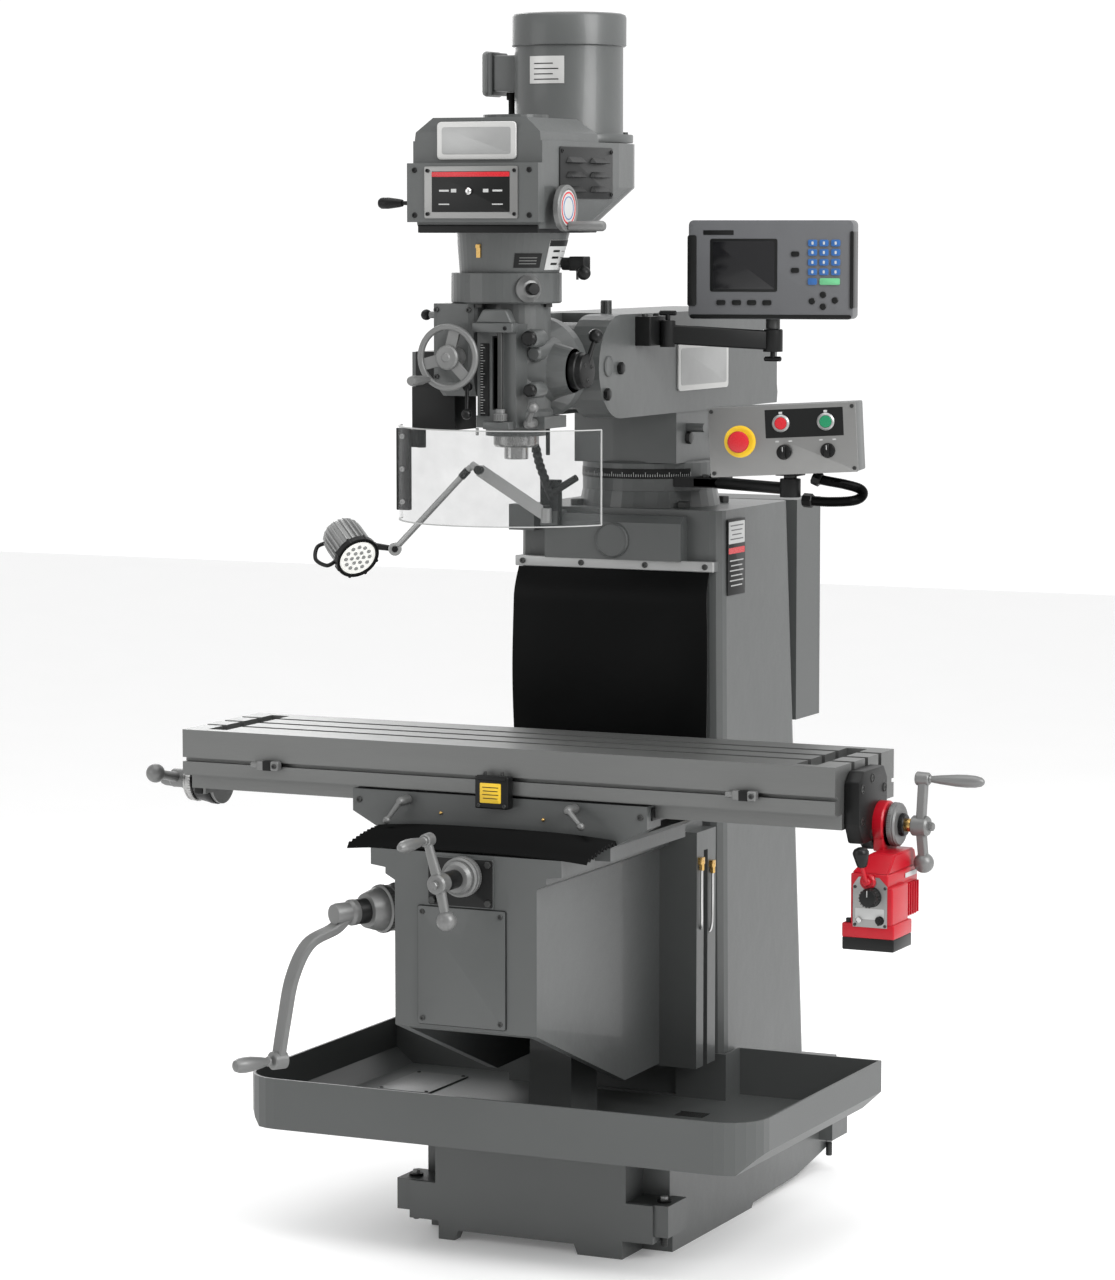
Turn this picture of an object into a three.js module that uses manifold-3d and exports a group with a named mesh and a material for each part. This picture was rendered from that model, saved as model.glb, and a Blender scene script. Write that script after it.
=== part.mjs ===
// Vertical turret milling machine, in millimetres, +Z up.
// Layout frame: X = 0 is the machine's centre plane, Y = 0 the spindle axis, Z = 0 the floor.
// The finished group is shifted so that its origin is the bottom centre of the bounding box.
import * as THREE from 'three';
import { mergeVertices } from 'three/addons/utils/BufferGeometryUtils.js';
import Module from 'manifold-3d';

const wasm = await Module();
wasm.setup();

// ---------- driving dimensions ----------
const GAP = 0.3;                     // clearance between touching pieces
const ORIGIN_X = 23;                 // bounding box centre in the layout frame
const ORIGIN_Y = 269;

const BASE = { half: 262, front: 56, rear: 1024, top: 230, wall: 27 };
const TRAY = { half: 544, front: -126, rear: 544, rim: 330, low: 267, corner: 80, wall: 5 };
const COLUMN = { half: 232, topHalf: 222, front: 475, rearLow: 925, rearTop: 840, top: 1420 };
const TURRET = { y: 629, r: 137, low: 1453, high: 1512 };
const KNEE = { half: 148, front: -222, rear: 440, top: 815, nose: 481, apexY: 179, apex: 324 };
const SCREW_Y = 210;                 // elevating screw axis
const SADDLE = { half: 310, front: -83, rear: 271, top: 905, low: 822 };
const TABLE = { half: 686, front: -86, rear: 219, top: 1000 };
const FEED = { y: 66, z: 880, r: 14 };            // long feed screw axis
const LAMP_PIVOT_R = 11;             // upright pin the lamp swings on
const CROSS_Z = 775;                 // cross feed screw height
const LIFT_Z = 692;                  // lift crank shaft height
const LIFT_OUT = 27;                 // lift shaft angle from -Y towards -X, degrees
const RAM = { half: 120, front: 215, rear: 1017, low: 1613, top: 1813 };
const TILT_Z = 1713;                 // head tilt and nod axes
const QUILL_R = 43;
const MOTOR = { y: 237, r: 105, cap: 111, low: 2142, high: 2390 };
const NECK = { low: 1838, mid: 1895, high: 1970 };
const RING = { x: -20, r: 105 };     // round gear ring under the neck
const RATE_ANGLE = -42 * Math.PI / 180;           // feed rate knob about the ring
const PENDANT = { x: 390, y: 404, z: 1571, w: 290, h: 135, d: 92, yaw: 12, roll: 3 };
const DISPLAY = { x: 343, y: 445, z: 1898, w: 325, h: 192, d: 62, yaw: 12 };
const DISPLAY_PIVOT = { x: 165, y: 340 };

// ---------- materials ----------
const material = (color, roughness, metalness) =>
  new THREE.MeshStandardMaterial({ color, roughness, metalness });
const PAINT = material(0x6f7372, 0.5, 0.1);
const STEEL = material(0x9c9e9d, 0.3, 0.9);
const SATIN = material(0xb4b5b3, 0.35, 0.8);
const BLACK = material(0x161718, 0.5, 0.1);
const RUBBER = material(0x141516, 0.7, 0);
const RED = material(0xc01824, 0.4, 0);
const YELLOW = material(0xf0b010, 0.4, 0);
const GREEN = material(0x0f8a4a, 0.4, 0);
const CLEAR = material(0xdfe5e6, 0.05, 0);
const GREY_PLASTIC = material(0x8a8c92, 0.5, 0);

// ---------- shape helpers ----------
const V = (x, y, z) => new THREE.Vector3(x, y, z);

function box(x0, x1, y0, y1, z0, z1) {
  const g = new THREE.BoxGeometry(x1 - x0, y1 - y0, z1 - z0);
  return g.translate((x0 + x1) / 2, (y0 + y1) / 2, (z0 + z1) / 2);
}

// A closed round bar from a to b, which tapers when two radii are given.
function bar(a, b, r, r2 = r, sides = 20) {
  const along = b.clone().sub(a);
  const g = new THREE.CylinderGeometry(r2, r, along.length(), sides);
  g.applyQuaternion(new THREE.Quaternion().setFromUnitVectors(V(0, 1, 0), along.normalize()));
  const mid = a.clone().add(b).multiplyScalar(0.5);
  return g.translate(mid.x, mid.y, mid.z);
}

function ball(at, r, sides = 14) {
  const g = new THREE.SphereGeometry(r, sides, Math.round(sides / 2));
  return g.translate(at.x, at.y, at.z);
}

function outline(points) {
  return new THREE.Shape(points.map(([a, b]) => new THREE.Vector2(a, b)));
}

function extrude(points, depth) {
  return new THREE.ExtrudeGeometry(outline(points), { depth, bevelEnabled: false });
}

const prismZ = (points, z0, z1) => extrude(points, z1 - z0).translate(0, 0, z0);
const prismX = (points, x0, x1) =>
  extrude(points, x1 - x0).rotateX(Math.PI / 2).rotateZ(Math.PI / 2).translate(x0, 0, 0);
const prismY = (points, y0, y1) =>
  extrude(points, y1 - y0).rotateX(Math.PI / 2).translate(0, y1, 0);

// A body of revolution about Z through (x, y); the profile is a list of [radius, z].
function turned(profile, x, y, sides = 28) {
  const points = profile.map(([r, z]) => new THREE.Vector2(r, z));
  const g = new THREE.LatheGeometry(points, sides);
  return g.rotateX(Math.PI / 2).translate(x, y, 0);
}

// Points of a circular arc, degrees, for outlines.
function arc(cx, cy, r, from, to, steps) {
  const points = [];
  for (let i = 0; i <= steps; i += 1) {
    const a = THREE.MathUtils.degToRad(from + (to - from) * i / steps);
    points.push([cx + r * Math.cos(a), cy + r * Math.sin(a)]);
  }
  return points;
}

// A solid between rings of equal point counts, each ring a list of [x, y] at its height.
function loft(rings) {
  const n = rings[0].points.length;
  const positions = [];
  rings.forEach(({ z, points }) => points.forEach(([x, y]) => positions.push(x, y, z)));
  const index = [];
  for (let k = 0; k + 1 < rings.length; k += 1) {
    for (let i = 0; i < n; i += 1) {
      const a = k * n + i;
      const b = k * n + (i + 1) % n;
      index.push(a, b, b + n, a, b + n, a + n);
    }
  }
  const cap = (ring, base, up) => {
    const contour = ring.points.map(([x, y]) => new THREE.Vector2(x, y));
    THREE.ShapeUtils.triangulateShape(contour, []).forEach(([a, b, c]) => {
      index.push(base + a, base + (up ? b : c), base + (up ? c : b));
    });
  };
  cap(rings[0], 0, false);
  cap(rings[rings.length - 1], (rings.length - 1) * n, true);
  const g = new THREE.BufferGeometry();
  g.setAttribute('position', new THREE.Float32BufferAttribute(positions, 3));
  g.setIndex(index);
  return g;
}

const rectangle = (x, y0, y1) => [[-x, y0], [x, y0], [x, y1], [-x, y1]];

function roundedRectangle(x0, x1, y0, y1, r, steps = 4) {
  return [
    ...arc(x0 + r, y0 + r, r, 180, 270, steps),
    ...arc(x1 - r, y0 + r, r, 270, 360, steps),
    ...arc(x1 - r, y1 - r, r, 0, 90, steps),
    ...arc(x0 + r, y1 - r, r, 90, 180, steps),
  ];
}

// ---------- joining and cutting ----------
function toManifold(geometry) {
  const g = geometry.clone();
  g.deleteAttribute('normal');
  g.deleteAttribute('uv');
  const merged = mergeVertices(g, 1e-4);
  return new wasm.Manifold(new wasm.Mesh({
    numProp: 3,
    vertProperties: new Float32Array(merged.attributes.position.array),
    triVerts: new Uint32Array(merged.index.array),
  }));
}

function fromManifold(solid) {
  const mesh = solid.getMesh();
  const g = new THREE.BufferGeometry();
  g.setAttribute('position', new THREE.BufferAttribute(new Float32Array(mesh.vertProperties), 3));
  g.setIndex(new THREE.BufferAttribute(new Uint32Array(mesh.triVerts), 1));
  g.computeVertexNormals();
  return g;
}

const fuse = (...pieces) =>
  fromManifold(pieces.map(toManifold).reduce((sum, piece) => sum.add(piece)));
const carve = (body, ...cutters) =>
  fromManifold(cutters.map(toManifold).reduce((left, tool) => left.subtract(tool), toManifold(body)));
const overlap = (a, b) => fromManifold(toManifold(a).intersect(toManifold(b)));

const machine = new THREE.Group();

function part(name, look, geometry, parent = machine) {
  const mesh = new THREE.Mesh(geometry, look);
  mesh.name = name;
  parent.add(mesh);
  return mesh;
}

const both = (make) => [make(-1), make(1)];

// ---------- stand: base, tray, column, cabinet ----------
function baseCasting() {
  const { half, front, rear, top, wall } = BASE;
  const side = [[front, 0], [554, 0], [562, 9], [800, 16], [1000, 46], [rear, 93], [rear, top], [front, top]];
  const pad = (s, y0, y1) => box(Math.min(s * 195, s * 292), Math.max(s * 195, s * 292), y0, y1, 50, 112);
  const body = fuse(
    carve(
      prismX(side, -half, half),
      box(-half + wall, half - wall, 170, rear - wall, -5, top - 25),
      box(-188, 188, front + wall, 200, -5, top - 25),
      prismY([[-165, -5], [105, -5], [95, 20], [-155, 20]], front - 5, front + wall + 5),
      ...both((s) => box(Math.min(s * 198, s * 270), Math.max(s * 198, s * 270), front - 5, 152, -5, 36)),
      ...both((s) => box(
        Math.min(s * 205, s * 270), Math.max(s * 205, s * 270), front - 5, 138, 111, top + 5)),
    ),
    ...both((s) => pad(s, front + 6, 152)),
    ...both((s) => box(Math.min(s * 230, s * 292), Math.max(s * 230, s * 292), 925, 1012, 66, 112)),
    ...both((s) => box(Math.min(s * 130, s * 200), Math.max(s * 130, s * 200), 890, 1005, 0, 210)),
  );
  const screwHoles = [-268, 268].flatMap((x) => [98, 968].map((y) =>
    bar(V(x, y, -10), V(x, y, 150), 8, 8, 12)));
  return carve(body, ...screwHoles, bar(V(0, SCREW_Y, 150), V(0, SCREW_Y, 300), 30));
}
part('base_casting', PAINT, baseCasting());

function chipTray() {
  const { half, front, rear, rim, low, corner, wall } = TRAY;
  const bottom = BASE.top + GAP;
  const plan = (o) => [
    ...arc(-half + corner, front + corner, corner - o, 180, 270, 6),
    ...arc(half - corner, front + corner, corner - o, 270, 360, 6),
    [half - o, rear - o], [236 + o, rear - o], [236 + o, 471 - o],
    [-236 - o, 471 - o], [-236 - o, rear - o], [-half + o, rear - o],
  ];
  const flare = (o, z) => [
    [-half + o, rim + 9], [-half + o, low], [-505 + o, z], [505 - o, z], [half - o, low], [half - o, rim + 9],
  ];
  const outer = overlap(prismZ(plan(0), bottom, rim), prismY(flare(0, bottom - 0.01), front - 5, rear + 5));
  const inner = overlap(
    prismZ(plan(wall), bottom + wall, rim + 5),
    prismY(flare(wall, bottom + wall), front - 5, rear + 5),
  );
  const holes = [
    box(-52, 52, 143, 277, 200, 300),
    box(195, 260, 300, 345, 200, 300),
    box(-131, 131, 436, 480, 240, 340),
  ];
  return carve(outer, inner, ...holes);
}
part('chip_tray', PAINT, chipTray());

function columnCasting() {
  const { half, topHalf, front, rearLow, rearTop, top } = COLUMN;
  const foot = BASE.top + GAP;
  const ring = (x, y1, r) => roundedRectangle(-x, x, front, y1, r, 3);
  const shell = loft([
    { z: foot, points: ring(half, rearLow, 26) },
    { z: top, points: ring(topHalf, rearTop, 26) },
  ]);
  const hollow = loft([
    { z: foot - 5, points: rectangle(half - 22, front + 24, rearLow - 24) },
    { z: top - 34, points: rectangle(topHalf - 22, front + 24, rearTop - 24) },
  ]);
  const bosses = [1010, 1330].flatMap((z) => both((s) =>
    box(s * 150 - 18, s * 150 + 18, 815, 880 - GAP, z, z + 34)));
  return fuse(
    carve(shell, hollow),
    box(-128, 128, 441, front + 5, 300, 1268),
    box(-216, 216, 452, front + 5, 1300, 1320),
    prismX([[442, 1319], [442, 1394], [456, 1408], [front + 5, 1408], [front + 5, 1319]], -149, 149),
    turned([[0, top - 5], [TURRET.r + 8, top - 5], [TURRET.r, TURRET.low - GAP], [0, TURRET.low - GAP]],
      0, TURRET.y, 36),
    box(-228, -172, 440, 520, 1372, top + 4),
    box(-150, -112, 412 + LAMP_PIVOT_R + GAP, 470, 1385, top - 6),
    ...bosses,
  );
}
part('column_casting', PAINT, columnCasting());

const CABINET = { half: 222, front: 880, rear: 1000, low: 960, high: 1418, wall: 4 };
function cabinetBox() {
  const { half, front, rear, low, high, wall } = CABINET;
  return fuse(
    carve(
      box(-half, half, front, rear, low, high),
      box(-half + wall, half - wall, front + wall, rear + 5, low + wall, high - wall),
    ),
    bar(V(60, 940, low + 1), V(60, 940, low - 22), 13),
  );
}
part('cabinet_box', PAINT, cabinetBox());
part('cabinet_door', PAINT, fuse(
  box(-CABINET.half, CABINET.half, CABINET.rear + GAP, CABINET.rear + 12, CABINET.low, CABINET.high),
  bar(V(188, CABINET.rear + 10, 1190), V(188, CABINET.rear + 22, 1190), 14),
));

const SHEET = { half: 214, top: 1299, low: 842 };
part('way_cover_sheet', RUBBER, prismX(
  [[448, SHEET.top], [430, 1262], [423, 1150], [421, 950], [424, SHEET.low], [428, SHEET.low],
    [425, 950], [427, 1150], [434, 1260], [451.5, SHEET.top]],
  -SHEET.half, SHEET.half,
));

part('screw_pedestal', PAINT, carve(
  loft([
    { z: BASE.top + GAP, points: rectangle(47, SCREW_Y - 62, SCREW_Y + 62) },
    { z: 430, points: rectangle(44, SCREW_Y - 56, SCREW_Y + 56) },
    { z: 560, points: rectangle(38, SCREW_Y - 38, SCREW_Y + 38) },
  ]),
  bar(V(0, SCREW_Y, 200), V(0, SCREW_Y, 600), 22),
));

// ---------- knee ----------
const liftDirection = V(
  -Math.sin(THREE.MathUtils.degToRad(LIFT_OUT)),
  -Math.cos(THREE.MathUtils.degToRad(LIFT_OUT)),
  0,
);
const liftPoint = (t, side = 0, up = 0) =>
  V(0, SCREW_Y, LIFT_Z + up).addScaledVector(liftDirection, t)
    .add(V(liftDirection.y * side, -liftDirection.x * side, 0));

function kneeCasting() {
  const { half, front, rear, top, nose, apexY, apex } = KNEE;
  const profile = [[front, nose], [apexY, apex], [rear, apex + 4], [rear, top], [front, top]];
  const section = [
    [-half, 300], [half, 300], [half, 757], [168, 768], [168, 780], [199, 784], [199, top],
    [-199, top], [-199, 784], [-168, 780], [-168, 768], [-half, 757],
  ];
  const body = overlap(prismX(profile, -230, 230), prismY(section, front, rear));
  const flanges = both((s) => box(
    Math.min(s * 132, s * 228), Math.max(s * 132, s * 228), 345, rear, 322, 794));
  const bearing = turned([[0, 640], [40, 640], [40, 775], [0, 775]], 0, SCREW_Y);
  return carve(
    fuse(
      carve(fuse(body, ...flanges), box(-128, 128, front + 20, rear - 22, 250, 764)),
      bearing,
      bar(liftPoint(260), liftPoint(409), 44),
      box(-76, 60, front - 4, front + 5, 716, 808),
      box(-97, 84, front - 3, front + 5, nose + 8, 712),
    ),
    bar(V(0, SCREW_Y, 630), V(0, SCREW_Y, 706), 20),
    bar(liftPoint(200), liftPoint(420), 15),
    bar(V(0, front - 10, CROSS_Z), V(0, front + 30, CROSS_Z), 15),
    box(-18, 18, front + 20, 300, 758, 795),
    box(130 + 20, 230, 380, 400, 300, top - 60),
  );
}
part('knee_casting', PAINT, kneeCasting());

part('elevating_screw', STEEL, turned(
  [[0, 100], [16, 100], [19, 104], [19, 636], [30, 636.5], [30, 639.5], [17, 639.7], [17, 700], [0, 700]],
  0, SCREW_Y,
));

function liftCrank() {
  const dial = fuse(
    bar(liftPoint(414), liftPoint(432), 44, 44, 28),
    bar(liftPoint(431), liftPoint(442), 46, 46, 28),
    bar(liftPoint(441), liftPoint(474), 42, 34, 28),
    bar(liftPoint(461), liftPoint(500), 24),
    bar(liftPoint(498), liftPoint(548), 25, 20),
    bar(liftPoint(300), liftPoint(416), 12),
  );
  const bend = [[515, 0], [545, -26], [606, -50], [643, -110], [662, -190], [676, -262]];
  const route = new THREE.CatmullRomCurve3(bend.map(([t, up]) => liftPoint(t, 0, up)));
  const section = outline([[-8, -17], [8, -17], [8, 17], [-8, 17]]);
  const arm = new THREE.ExtrudeGeometry(section, { extrudePath: route, steps: 14, bevelEnabled: false });
  return fuse(dial, arm, bar(liftPoint(664, 0, -262), liftPoint(690, 0, -262), 17));
}
part('lift_crank', SATIN, liftCrank());
part('lift_crank_grip', SATIN, fuse(
  bar(liftPoint(696, 0, -262), liftPoint(730, 0, -262), 9, 15),
  bar(liftPoint(729, 0, -262), liftPoint(776, 0, -262), 15, 9),
));

// A ball crank about the origin with its shaft along +Z: ball arm up, handle arm down.
function ballCrank(ballArm, gripArm, grip) {
  return [
    bar(V(0, 0, -16), V(0, 0, 16), 19, 17),
    bar(V(0, 0, 0), V(0, ballArm, 4), 10, 8, 12),
    ball(V(0, ballArm, 4), 19),
    bar(V(0, 0, 0), V(0, -gripArm, 8), 10, 8, 12),
    bar(V(0, -gripArm, -6), V(0, -gripArm, 20), 12, 12, 14),
    bar(V(0, -gripArm, 18), V(0, -gripArm, 26 + grip * 0.6), 6, 12, 14),
    bar(V(0, -gripArm, 25 + grip * 0.6), V(0, -gripArm, 26 + grip), 12, 8, 14),
  ];
}

function placed(pieces, direction, at, spin) {
  const turn = new THREE.Quaternion().setFromUnitVectors(V(0, 0, 1), direction);
  return pieces.map((g) => g.rotateZ(spin).applyQuaternion(turn).translate(at.x, at.y, at.z));
}

const crossHub = V(0, -330, CROSS_Z);
part('cross_crank', SATIN, fuse(
  bar(V(0, -227, CROSS_Z), V(0, -266, CROSS_Z), 38, 38, 28),
  bar(V(0, -265, CROSS_Z), V(0, -316, CROSS_Z), 17),
  ...placed(ballCrank(70, 84, 92), V(0, -1, 0), crossHub, Math.PI + 0.25),
  bar(V(0, -240, CROSS_Z), V(0, 180, CROSS_Z), 12),
));

// ---------- saddle ----------
function saddleCasting() {
  const { half, front, rear, top, low } = SADDLE;
  const section = [
    [-half, top], [-half, 862], [-235, low], [-235, 797], [-203, 797], [-203, KNEE.top + GAP],
    [203, KNEE.top + GAP], [203, 797], [235, 797], [235, low], [half, 862], [half, top],
  ];
  const nut = box(-26, 26, 46, 86, 855, 898);
  const body = carve(
    prismY(section.reverse(), front, rear),
    box(-half - 5, half + 5, -51, 184, 909 - 30, top + 5),
    box(-half - 5, half + 5, 184, rear + 5, 893, top + 5),
    box(-half - 5, half + 5, 46, 86, 860, 890),
    ...both((s) => box(Math.min(s * 240, s * 315), Math.max(s * 240, s * 315), -20, 216, 845, 872)),
  );
  return carve(fuse(body, nut), bar(V(-40, FEED.y, FEED.z), V(40, FEED.y, FEED.z), FEED.r + 0.5));
}
part('saddle_casting', PAINT, saddleCasting());

part('front_bellows', RUBBER, prismX(
  [[-85.5, 816], [-221, 816], [-224, 822], [-200, 832], [-150, 841], [-110, 846], [-85.5, 848]],
  -252, 252,
));

// A small clamp lever on a front face: hub, arm and ball.
function clampLever(x, y, z, angle, reach = 42, out = 38) {
  const tip = V(x + reach * Math.sin(angle), y - out - 8, z - reach * Math.cos(angle));
  return fuse(
    bar(V(x, y, z), V(x, y - out, z), 9, 8, 12),
    bar(V(x, y - out + 7, z), tip, 6, 4, 10),
    ball(tip, 7.5, 10),
  );
}
part('table_lock_left', SATIN, clampLever(-191, SADDLE.front - GAP, 890, -0.55));
part('table_lock_right', SATIN, clampLever(162, SADDLE.front - GAP, 893, 0.9));
part('saddle_lock_lever', SATIN, fuse(
  bar(V(-236, -40, 809), V(-262, -40, 809), 9, 8, 12),
  bar(V(-258, -40, 809), V(-272, -66, 778), 6, 4, 10),
  ball(V(-272, -66, 778), 8, 10),
));

// ---------- table ----------
const feedAt = (x, y = 0, z = 0) => V(x, FEED.y + y, FEED.z + z);
const SLOTS = [4, 74, 144];
function tableCasting() {
  const { half, front, rear, top } = TABLE;
  const slots = SLOTS.flatMap((y) => [
    box(-half - 5, half + 5, y - 8, y + 8, top - 26, top + 5),
    box(-half - 5, half + 5, y - 14, y + 14, top - 36, top - 24),
  ]);
  const body = fuse(
    box(-half, half, front, rear, 909, top),
    box(-half, half, -50, 183, FEED.z, 910),
    bar(feedAt(-half + 5), feedAt(-732), 46, 40, 28),
    box(-706, -half + 5, -6, 138, 862, 962),
  );
  const troughs = both((s) => box(
    Math.min(s * 600, s * 642), Math.max(s * 600, s * 642), front + 24, rear - 24, top - 16, top + 5));
  return carve(
    body,
    ...slots,
    ...troughs,
    box(-half - 5, half + 5, front - 5, front + 14, 937, 945),
    box(-half - 5, half + 5, rear - 12, rear + 5, 937, 945),
    box(-half + 40, half + 5, FEED.y - 42, FEED.y + 42, 870, 940),
    box(-half - 5, half + 5, front - 5, front + 7, 905, 912),
    bar(feedAt(-760), feedAt(-half + 50), FEED.r + 1),
  );
}
part('table_casting', STEEL, tableCasting());

const DRIVE = { x0: 706, x1: 788, x2: 779, y0: -56, y1: 100, low: 661, step: 711, shoulder: 804, neck: 836 };
function feedDrive() {
  const { x0, x1, x2, y0, y1, low, step, shoulder, neck } = DRIVE;
  const adapter = [
    [-42, 968], [-42, 888], [-22, 852], [28, 852], [52, 832], [86, 838], [104, 880], [104, 965],
    [86, 987], [-18, 987],
  ];
  const plan = [[x0, y0], [x1, y0], [x1, 26], [x2, 32], [x2, y1], [x0, y1]];
  const roof = [[x0 + 21, y0 + 46], [x1 - 12, y0 + 46], [x1 - 12, y1 - 9], [x0 + 21, y1 - 8]];
  const eaves = [[x0, y0], [x1 - 9, y0], [x1 - 9, y1], [x0, y1]];
  return carve(
    fuse(
      prismX(adapter.reverse(), TABLE.half + GAP, 717),
      box(689, 791, y0, 40, low, step),
      prismZ(plan, step - 2, shoulder - 24),
      prismZ(eaves, shoulder - 25, shoulder),
      loft([{ z: shoulder - 1, points: eaves }, { z: neck, points: roof }]),
      bar(feedAt(716), feedAt(737), 43, 43, 32),
      box(716, 737, 30, 102, neck - 3, FEED.z),
    ),
    bar(feedAt(680), feedAt(760), 15),
  );
}
part('feed_drive', RED, feedDrive());
part('feed_lever', BLACK, fuse(
  bar(V(741, DRIVE.y0 - GAP, 790), V(741, DRIVE.y0 - 14, 790), 7, 7, 12),
  bar(V(741, DRIVE.y0 - 10, 788), V(736, DRIVE.y0 - 24, 824), 4, 4, 10),
  bar(V(737, DRIVE.y0 - 22, 820), V(735, DRIVE.y0 - 27, 854), 11, 15, 16),
));
part('feed_speed_knob', BLACK, bar(
  V(748, DRIVE.y0 - GAP, 762), V(748, DRIVE.y0 - 26, 762), 19, 17, 24));

function stopDog(x, s) {
  return fuse(
    box(x - 24, x + 24, TABLE.front - 17, TABLE.front - GAP, 931, 949),
    bar(V(x + s * 20, TABLE.front - 9, 940), V(x + s * 38, TABLE.front - 9, 940), 6, 6, 12),
    box(x - 15, x + 15, TABLE.front - 2, TABLE.front + 9, 938, 944),
  );
}
part('stop_dog_left', SATIN, stopDog(-488, -1));
part('stop_dog_right', SATIN, stopDog(512, -1));

part('table_screw', STEEL, fuse(
  bar(feedAt(-755), feedAt(762), 12),
  bar(feedAt(-684), feedAt(684), FEED.r),
  bar(feedAt(-732.5), feedAt(-752), 44, 44, 28),
  bar(feedAt(-751), feedAt(-770), 22),
  ...placed(ballCrank(90, 88, 68), V(-1, 0, 0), feedAt(-782), Math.PI + 0.22),
));
part('right_crank', SATIN, carve(
  fuse(
    bar(feedAt(742.5), feedAt(758), 41, 41, 28),
    bar(feedAt(757), feedAt(784), 19, 12),
    ...placed(ballCrank(70, 90, 100), V(1, 0, 0), feedAt(797), -Math.PI / 2 + 0.1),
  ),
  bar(feedAt(720), feedAt(763), 12 + GAP),
));

// ---------- turret and ram ----------
part('turret_block', PAINT, fuse(
  turned([[0, TURRET.low], [TURRET.r, TURRET.low], [TURRET.r, TURRET.high - 4], [TURRET.r - 5, TURRET.high],
    [0, TURRET.high]], 0, TURRET.y, 40),
  box(-112, 112, 505, 752, TURRET.high - 2, RAM.low - GAP),
  prismY([[-52, RAM.low - 2], [52, RAM.low - 2], [68, RAM.low + 26], [-68, RAM.low + 26]], 505, 752),
  bar(V(110, 560, 1580), V(150, 560, 1580), 9, 9, 12),
));

function ramCasting() {
  const { half, front, rear, low, top } = RAM;
  const r = (top - low) / 2;
  const side = [
    ...arc(front, TILT_Z, r, 90, 270, 14),
    [rear, low], [rear + 4, low + 22], [rear, low + 40], [rear, top],
  ];
  return carve(
    fuse(
      prismX(side, -half, half),
      box(half - 2, 150, 285, 362, 1752, 1806),
      bar(V(60, 280, top - 5), V(60, 280, top + 26), 11),
    ),
    prismY([[-54, low - 5], [54, low - 5], [70, low + 27], [-70, low + 27]], 300, rear + 20),
    box(-52.5, 52.5, 60, 318, low - 30, top + 30),
    box(-98, 98, 410, rear - 24, low + 54, top - 22),
    box(-60, 60, 520, rear - 60, low + 20, low + 70),
  );
}
part('ram_casting', PAINT, ramCasting());

part('knuckle', PAINT, fuse(
  bar(V(-52, RAM.front, TILT_Z), V(52, RAM.front, TILT_Z), 84, 84, 36),
  box(-52, 52, 111, RAM.front, TILT_Z - 66, TILT_Z + 66),
  bar(V(0, 85, TILT_Z), V(0, 112, TILT_Z), 98, 98, 40),
));

// ---------- readout on its arm ----------
part('readout_arm', BLACK, fuse(
  bar(V(DISPLAY_PIVOT.x, DISPLAY_PIVOT.y, 1748), V(DISPLAY_PIVOT.x, DISPLAY_PIVOT.y, 1800), 14),
  bar(V(DISPLAY_PIVOT.x, DISPLAY_PIVOT.y, 1770), V(DISPLAY.x, DISPLAY.y, 1758), 17, 17, 4),
  bar(V(DISPLAY.x, DISPLAY.y, 1738), V(DISPLAY.x, DISPLAY.y, 1782), 19, 19, 16),
));
const displayGroup = new THREE.Group();
displayGroup.position.set(DISPLAY.x, DISPLAY.y, DISPLAY.z);
displayGroup.rotation.z = THREE.MathUtils.degToRad(DISPLAY.yaw);
machine.add(displayGroup);
part('readout_display', GREY_PLASTIC, fuse(
  box(-DISPLAY.w / 2, DISPLAY.w / 2, -DISPLAY.d / 2, DISPLAY.d / 2, -DISPLAY.h / 2, DISPLAY.h / 2),
  bar(V(0, 0, 1782 + GAP - DISPLAY.z), V(0, 0, -DISPLAY.h / 2 + 5), 14),
), displayGroup);

// ---------- control pendant ----------
part('pendant_arm', BLACK, fuse(
  carve(
    box(96, 196, 528, 596, 1462, 1482),
    bar(V(0, TURRET.y, 1400), V(0, TURRET.y, 1600), TURRET.r + GAP, TURRET.r + GAP, 40),
  ),
  bar(V(180, 545, 1472), V(PENDANT.x, 424, 1472), 11, 11, 8),
  bar(V(PENDANT.x, 424, 1456), V(PENDANT.x, 424, 1492), 20),
));
const pendantGroup = new THREE.Group();
pendantGroup.position.set(PENDANT.x, PENDANT.y, PENDANT.z);
pendantGroup.rotation.set(
  0, -THREE.MathUtils.degToRad(PENDANT.roll), THREE.MathUtils.degToRad(PENDANT.yaw), 'ZYX');
machine.add(pendantGroup);
const FACE = -PENDANT.d / 2;
part('pendant_box', STEEL, carve(
  box(-PENDANT.w / 2, PENDANT.w / 2, FACE, PENDANT.d / 2, -PENDANT.h / 2, PENDANT.h / 2),
  bar(V(-84, FACE - 5, 0), V(-84, FACE + 18, 0), 9.5),
  bar(V(-2, FACE - 5, 32), V(-2, FACE + 14, 32), 12.5),
  bar(V(86, FACE - 5, 32), V(86, FACE + 14, 32), 12.5),
), pendantGroup);
part('stop_button', RED, fuse(
  bar(V(-84, FACE - 12, 0), V(-84, FACE - 26, 0), 21, 20, 24),
  bar(V(-84, FACE + 8, 0), V(-84, FACE - 13, 0), 9),
), pendantGroup);
part('off_button', RED, bar(V(-2, FACE + 7, 32), V(-2, FACE - 6, 32), 12, 12, 24), pendantGroup);
part('start_button', GREEN, bar(V(86, FACE + 7, 32), V(86, FACE - 6, 32), 12, 12, 24), pendantGroup);
const selector = (x) => fuse(
  bar(V(x, FACE - GAP, -24), V(x, FACE - 10, -24), 14, 14, 20),
  box(x - 4, x + 4, FACE - 20, FACE - 8, -36, -12),
);
part('selector_left', BLACK, selector(2), pendantGroup);
part('selector_right', BLACK, selector(88), pendantGroup);

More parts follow.
